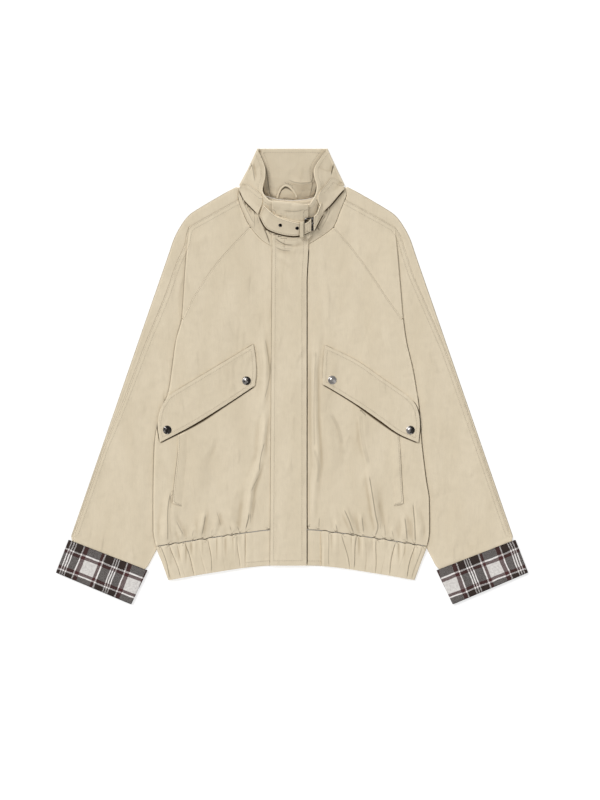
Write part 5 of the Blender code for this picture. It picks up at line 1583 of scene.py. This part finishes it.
for side, lines in WELTS.items():
    outer, inner = spline(lines["outward"], 48), spline(lines["inward"], 48)
    f = across(21, 2.4)
    x, y = between(outer, inner, f)
    # Its inner edge is sewn down flat, so only the outer one shows.
    z = over(front_z(x, y), CLOTH) + 0.15 - 2.3 * ease((f - 0.25) / 0.6)
    bar = [inner[-1] + (0, 1.5), outer[-1] + (0, 1.5)]
    short = [bar[0], bar[1] + (bar[0] - bar[1]) * 0.1]
    # Painted shadow lines under the pocket flap and by the welt's lower end.
    cloth(
        f"welt_{side}", [surface(x, y, z)], CLOTH, (22, 130), rests_on=[f"front_{side}"], sewn=[inner],
        gaps=[below_flap(side), gap(short, 0.8, 0.4)], stitched=[bar, outer],
    )

# ---- The throat strap ------------------------------------------------------------------------------------
# Two pointed carriers hold a strap across the throat: its long part with an under layer and a keeper, and
# its short part on the other carrier. All are doubled twill, stitched along their edges.

ON_COLLAR = {"rests_on": ["collar"], "look": collared}
for side, lines in WINGS.items():
    x, y = coons(**lines, columns=20, rows=14)
    z = over(top_z(x, y), DOUBLE) + 0.5 + 3.0 * ease(1 - far(x, y, spline(lines["bottom"], 20)) / 13)
    top = spline(lines["top"], 20)
    cloth(
        f"wing_{side}", [surface(x, y, z)], DOUBLE, (46, 46), 0.68, **ON_COLLAR, sewn=[top], stitched=[top],
        rows=(1.8, 7.2),
    )


def ribbon(top, bottom, count, height):
    """A strap between two edges, at a height above the collar that follows its length."""
    a, b = spline(top, count), spline(bottom, count)
    x, y = between(a, b, across(22, 2.0))
    return surface(x, y, top_z(x, y) + height(np.linspace(0, 1, count))[:, None]), a, b


STRAP, STRAP_UNDER = 1.6, 1.3  # thicknesses
UNDER_Z = CLOTH / 2 + GAP + FLAP + GAP + 1.2 + STRAP_UNDER / 2 + 0.3
STRAP_Z = UNDER_Z + STRAP_UNDER / 2 + GAP + STRAP / 2 + 0.2
patch, a, b = ribbon(
    STRAP_HIGH, STRAP_LOW, 60,
    lambda t: 2.4 + (STRAP_Z - 2.4) * ease(t / 0.17) + 2.8 * ease((t - 0.785) / 0.06),
)
fold = [a[-1] - (8.4, 0), b[-1] - (8.4, 0)]
cloth("strap", [patch], STRAP, (22, 96), **ON_COLLAR, stitched=[a, b, [b[-1], a[-1]], fold])
UNDER_HIGH = drawn("-30 260.6, -16 255, 1.4 250.4, 10 248.6, 18 249, 25 251, 31.5 226.4")
UNDER_LOW = drawn("-27.5 240, -14 235, -1 231.5, 6 230, 11 228.5, 16.5 225.6, 24.6 218.6")
patch, a, b = ribbon(UNDER_HIGH, UNDER_LOW, 40, lambda t: UNDER_Z + 0 * t)
# Painted shadow lines under the buckle frame and the strap's lower edge.
cloth(
    "strap_under", [patch], STRAP_UNDER, (21, 74), 0.9, **ON_COLLAR,
    gaps=[gap([(17, 250.5), (24, 250.2), (30, 252)], 2.6), gap(spline(STRAP_LOW, 40), 1.2)], stitched=[a, b],
)
patch, a, b = ribbon(
    [(46.5, 279), (43.5, 270), (39.6, 261), (35, 256.8)], SHORT_LOW, 24,
    lambda t: 5.2 + (STRAP_Z + 2.6 - 5.2) * ease(t / 0.7),
)
cloth("strap_short", [patch], STRAP, (19, 34), 0.85, **ON_COLLAR, stitched=[a, b, [b[-1], a[-1]]])

loops = []
for x, high, low in (
    (12.4, 246.9, 224.6), (13.2, 246.8, 224.5), (16, 246.5, 224.4), (19, 246.2, 224.6), (19.8, 246.1, 224.8),
):
    y = np.linspace(high, low, 14)
    crest = top_z(x, y) + STRAP_Z + STRAP / 2 + GAP + 0.7 + 2.6 * ease((x - 9) / 6)
    drop = np.array([4.6, 2.8, 0.8])
    start = [(x, high + out, crest[0] - d) for out, d in zip((1.9, 1.9, 1.3), drop)]
    end = [(x, low - out, crest[-1] - d) for out, d in zip((1.3, 1.9, 1.9), drop[::-1])]
    loops.append(start + [(x, b, c) for b, c in zip(y, crest)] + end)
keeper_edges = [[(x, 250), (x, 221)] for x in (12.4, 19.8)]
# The keeper wears the darker twill as painted shade, with painted shadow lines along its edges.
cloth(
    "strap_keeper", [np.array(loops)], 1.2, (10, 34), 0.85, held="folded", rests_on=["strap"], look=inside,
    sewn=keeper_edges, gaps=[gap(line, 0.7, 0.55) for line in keeper_edges],
)

# ---- Buckle, eyelets and snaps ---------------------------------------------------------------------------
# Polished gunmetal: a cast rectangular buckle with its prong, two rolled eyelets, and four pressed snap
# caps with a rim round a shallow dome. They are rubbed bright on their high edges and dull in the corners.
# Patches of painted reflection make them light in places and dark in others, and painted shade fills the
# eyelets' holes.


def gunmetal():
    look = Look("Polished gunmetal", Metallic=1.0, Roughness=0.25)
    spot = look.place()[0]
    tarnish, scratch = (
        look.noise(spot, 2.4, 4.0), look.noise(look.stretched(spot, (1.0, 9.0, 1.0)), 0.5, 3.0)
    )
    # Painted reflection: light and dark patches of the metal, fewer dark ones where a snap is marked to look
    # lighter.
    reflection_patches = (look.noise(spot, 6, 1.0) - look.mark("polish") * 0.3).between(0.34, 0.42)
    # High edges rubbed bright, the more where a snap carries more painted reflection.
    wear_and_painted_light = look.node("ShaderNodeNewGeometry", out="Pointiness").between(0.5, 0.6)
    colour = look.coats(
        look.mix(reflection_patches, (0.42, 0.40, 0.385), (0.03, 0.027, 0.025)),
        (tarnish.between(0.4, 0.75) * 0.5, (0.05, 0.045, 0.048)),
        (wear_and_painted_light * (look.mark("polish") * 0.4 + 0.08), (0.62, 0.60, 0.59)),
        # Painted shade: the middle of an eyelet is near black.
        (look.mark("hole").between(0.3, 0.8), (0.004, 0.003, 0.003)),
    )
    return look.finish(
        Base_Color=colour, Roughness=0.16 + tarnish * 0.14 + scratch.between(0.5, 0.75) * 0.12,
        Normal=look.bump(scratch * 0.012 + tarnish * 0.02),
    )


metal = gunmetal()


def metal_part(node, rings, closed=False):
    """A turned or cast part from rings of points; a ring of one point closes an end."""
    shape = bmesh.new()
    made = [[shape.verts.new(tuple(float(v) * MM for v in p)) for p in ring] for ring in rings]
    for a, b in zip(made, made[1:] + (made[:1] if closed else [])):
        count = max(len(a), len(b))
        for k in range(count):
            m = (k + 1) % count
            shape.faces.new(
                list(dict.fromkeys([a[k % len(a)], a[m % len(a)], b[m % len(b)], b[k % len(b)]]))
            )
    return finished(meshed(node + "_metal", shape), metal)


def circle(count):
    return np.linspace(0, 2 * math.pi, count, endpoint=False)


def rod(path, radius, loop=False):
    """Rings round a path."""
    path = np.array(path, float)
    run = unit(np.roll(path, -1, 0) - np.roll(path, 1, 0) if loop else np.gradient(path, axis=0))
    side = unit(np.cross(run, (0, 0, 1)))
    rise = np.cross(side, run)
    rings = [
        [p + radius * (math.cos(a) * s + math.sin(a) * r) for a in circle(14)]
        for p, s, r in zip(path, side, rise)
    ]
    return (
        rings if loop
        else [[path[0] - run[0] * radius * 0.4]] + rings + [[path[-1] + run[-1] * radius * 0.4]]
    )


# The frame is flat, tilted as the collar beneath it is.
corners = np.array([(21.4, 233.6), (37.4, 235.2), (38, 254.6), (20.8, 253)])
plane = np.linalg.lstsq(
    np.c_[corners, np.ones(4)], top_z(*corners.T) + UNDER_Z + STRAP_UNDER / 2 + 1.5, rcond=None,
)[0]


def tilted(points, up=0.0):
    points = np.array(points, float)
    return np.c_[points, points @ plane[:2] + plane[2] + up]


outline = []
for k in range(4):
    before, corner, after = corners[k - 1], corners[k], corners[(k + 1) % 4]
    a, b = corner + 2.6 * unit(before - corner), corner + 2.6 * unit(after - corner)
    outline += [a * (1 - t) ** 2 + 2 * corner * t * (1 - t) + b * t * t for t in np.linspace(0, 1, 7)]
frame_path = resample(tilted(outline + outline[:1]), 65)[:-1]
bar_path = tilted([(32.6, y) for y in np.linspace(233.9, 254.8, 16)], 0.2)
prong_path = tilted([(x, 245.2 + 0.03 * (x - 31)) for x in np.linspace(31.4, 39.6, 10)], 1.9)
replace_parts(metal_part("buckle_frame", rod(frame_path, 1.15, loop=True), closed=True), "buckle_frame")
metal_part("buckle_bar", rod(bar_path, 1.35))
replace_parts(metal_part("buckle_prong", rod(prong_path, 0.8)), "buckle_prong")

# Each eyelet's place, then the radius and height of its rolled rim's outline.
EYELETS = {"eyelet_1": (-18.9, 242.3), "eyelet_2": (8.2, 237.6)}
AROUND = 28  # points round an eyelet
ROLLED = drawn("3 0, 2.9 0.4, 2.5 0.62, 2.1 0.5, 1.75 0.25, 1.5 0.1, 0 0.08")
for node, (x, y) in EYELETS.items():
    rings = []
    for r, h in ROLLED:
        around = circle(AROUND) if r else np.zeros(1)
        px, py = x + r * np.cos(around), y + 0.92 * r * np.sin(around)
        rings.append(list(zip(px, py, top_z(px, py) + STRAP_Z + STRAP / 2 + h)))
    ring = metal_part(node, rings)
    # Painted shade: the closed middle of the eyelet is marked to be near black, as if one looked down its
    # hole.
    paint(ring.data, "hole", [0.0] * (AROUND * 4) + [1.0] * (AROUND * 2 + 1))
    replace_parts(ring, node)

# Each snap's place, and how much painted reflection lightens it in the middle and how much less so per
# millimetre to the right.
SNAPS = {
    "right_inner": (-73.1, -7, 0.12, 0.03), "right_outer": (-200.2, -85.9, 0.15, 0.04),
    "left_inner": (64.5, -5.9, 1.1, 0.0), "left_outer": (189.9, -86.2, 0.45, 0.2),
}
# Radius and height of a cap's outline, from the middle of its underside.
PRESSED = drawn("""
    0 0, 6.2 0, 6.6 0.35, 6.55 0.8, 6 1.15, 5.35 1.1, 5 0.95, 4.6 1.15, 3.8 1.75, 2.7 2.2, 1.4 2.45, 0 2.5
""")
SNAP_SIZE = 1.06  # on the profile above
for name, (x, y, polish, less) in SNAPS.items():
    bottom = spline(FLAPS[name.split("_")[0]]["bottom"], 30)
    foot = float(flap_z(np.array(x), np.array(y), bottom)) + DOUBLE / 2 - 0.05
    rings = [
        [(x + SNAP_SIZE * r * math.cos(a), y + SNAP_SIZE * r * math.sin(a), foot + h) for a in circle(40)]
        if r else [(x, y, foot + h)]
        for r, h in PRESSED
    ]
    cap = metal_part("snap_cap_" + name, rings)
    paint(cap.data, "polish", [polish - less * (p[0] - x) for ring in rings for p in ring])
    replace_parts(cap, "snap_" + name)

# ---- The hanger loop -------------------------------------------------------------------------------------
# A narrow folded strip of the same twill, sewn by its ends inside the back of the collar.

LOOP_Z = STAND + GAP + 1.0
path = spline([(*p, LOOP_Z + up) for p, up in zip(LOOP, (0, 0.5, 0.9, 1.0, 1.0, 0.8, 0.4, 0))], 60)
across_it = np.cross(unit(np.gradient(path, axis=0)), (0, 0, 1))
tube = np.array(
    [
        [
            p + 1.4 * math.cos(a) * s + 0.45 * math.sin(a) * np.array((0, 0, 1))
            for a in np.linspace(0, 2 * math.pi, 15)
        ] for p, s in zip(path, across_it)
    ]
)
cloth("hanger_loop", [tube], 0.5, (10, 62), 0.4, held="folded", rests_on=["collar"], slot="twill_inside")
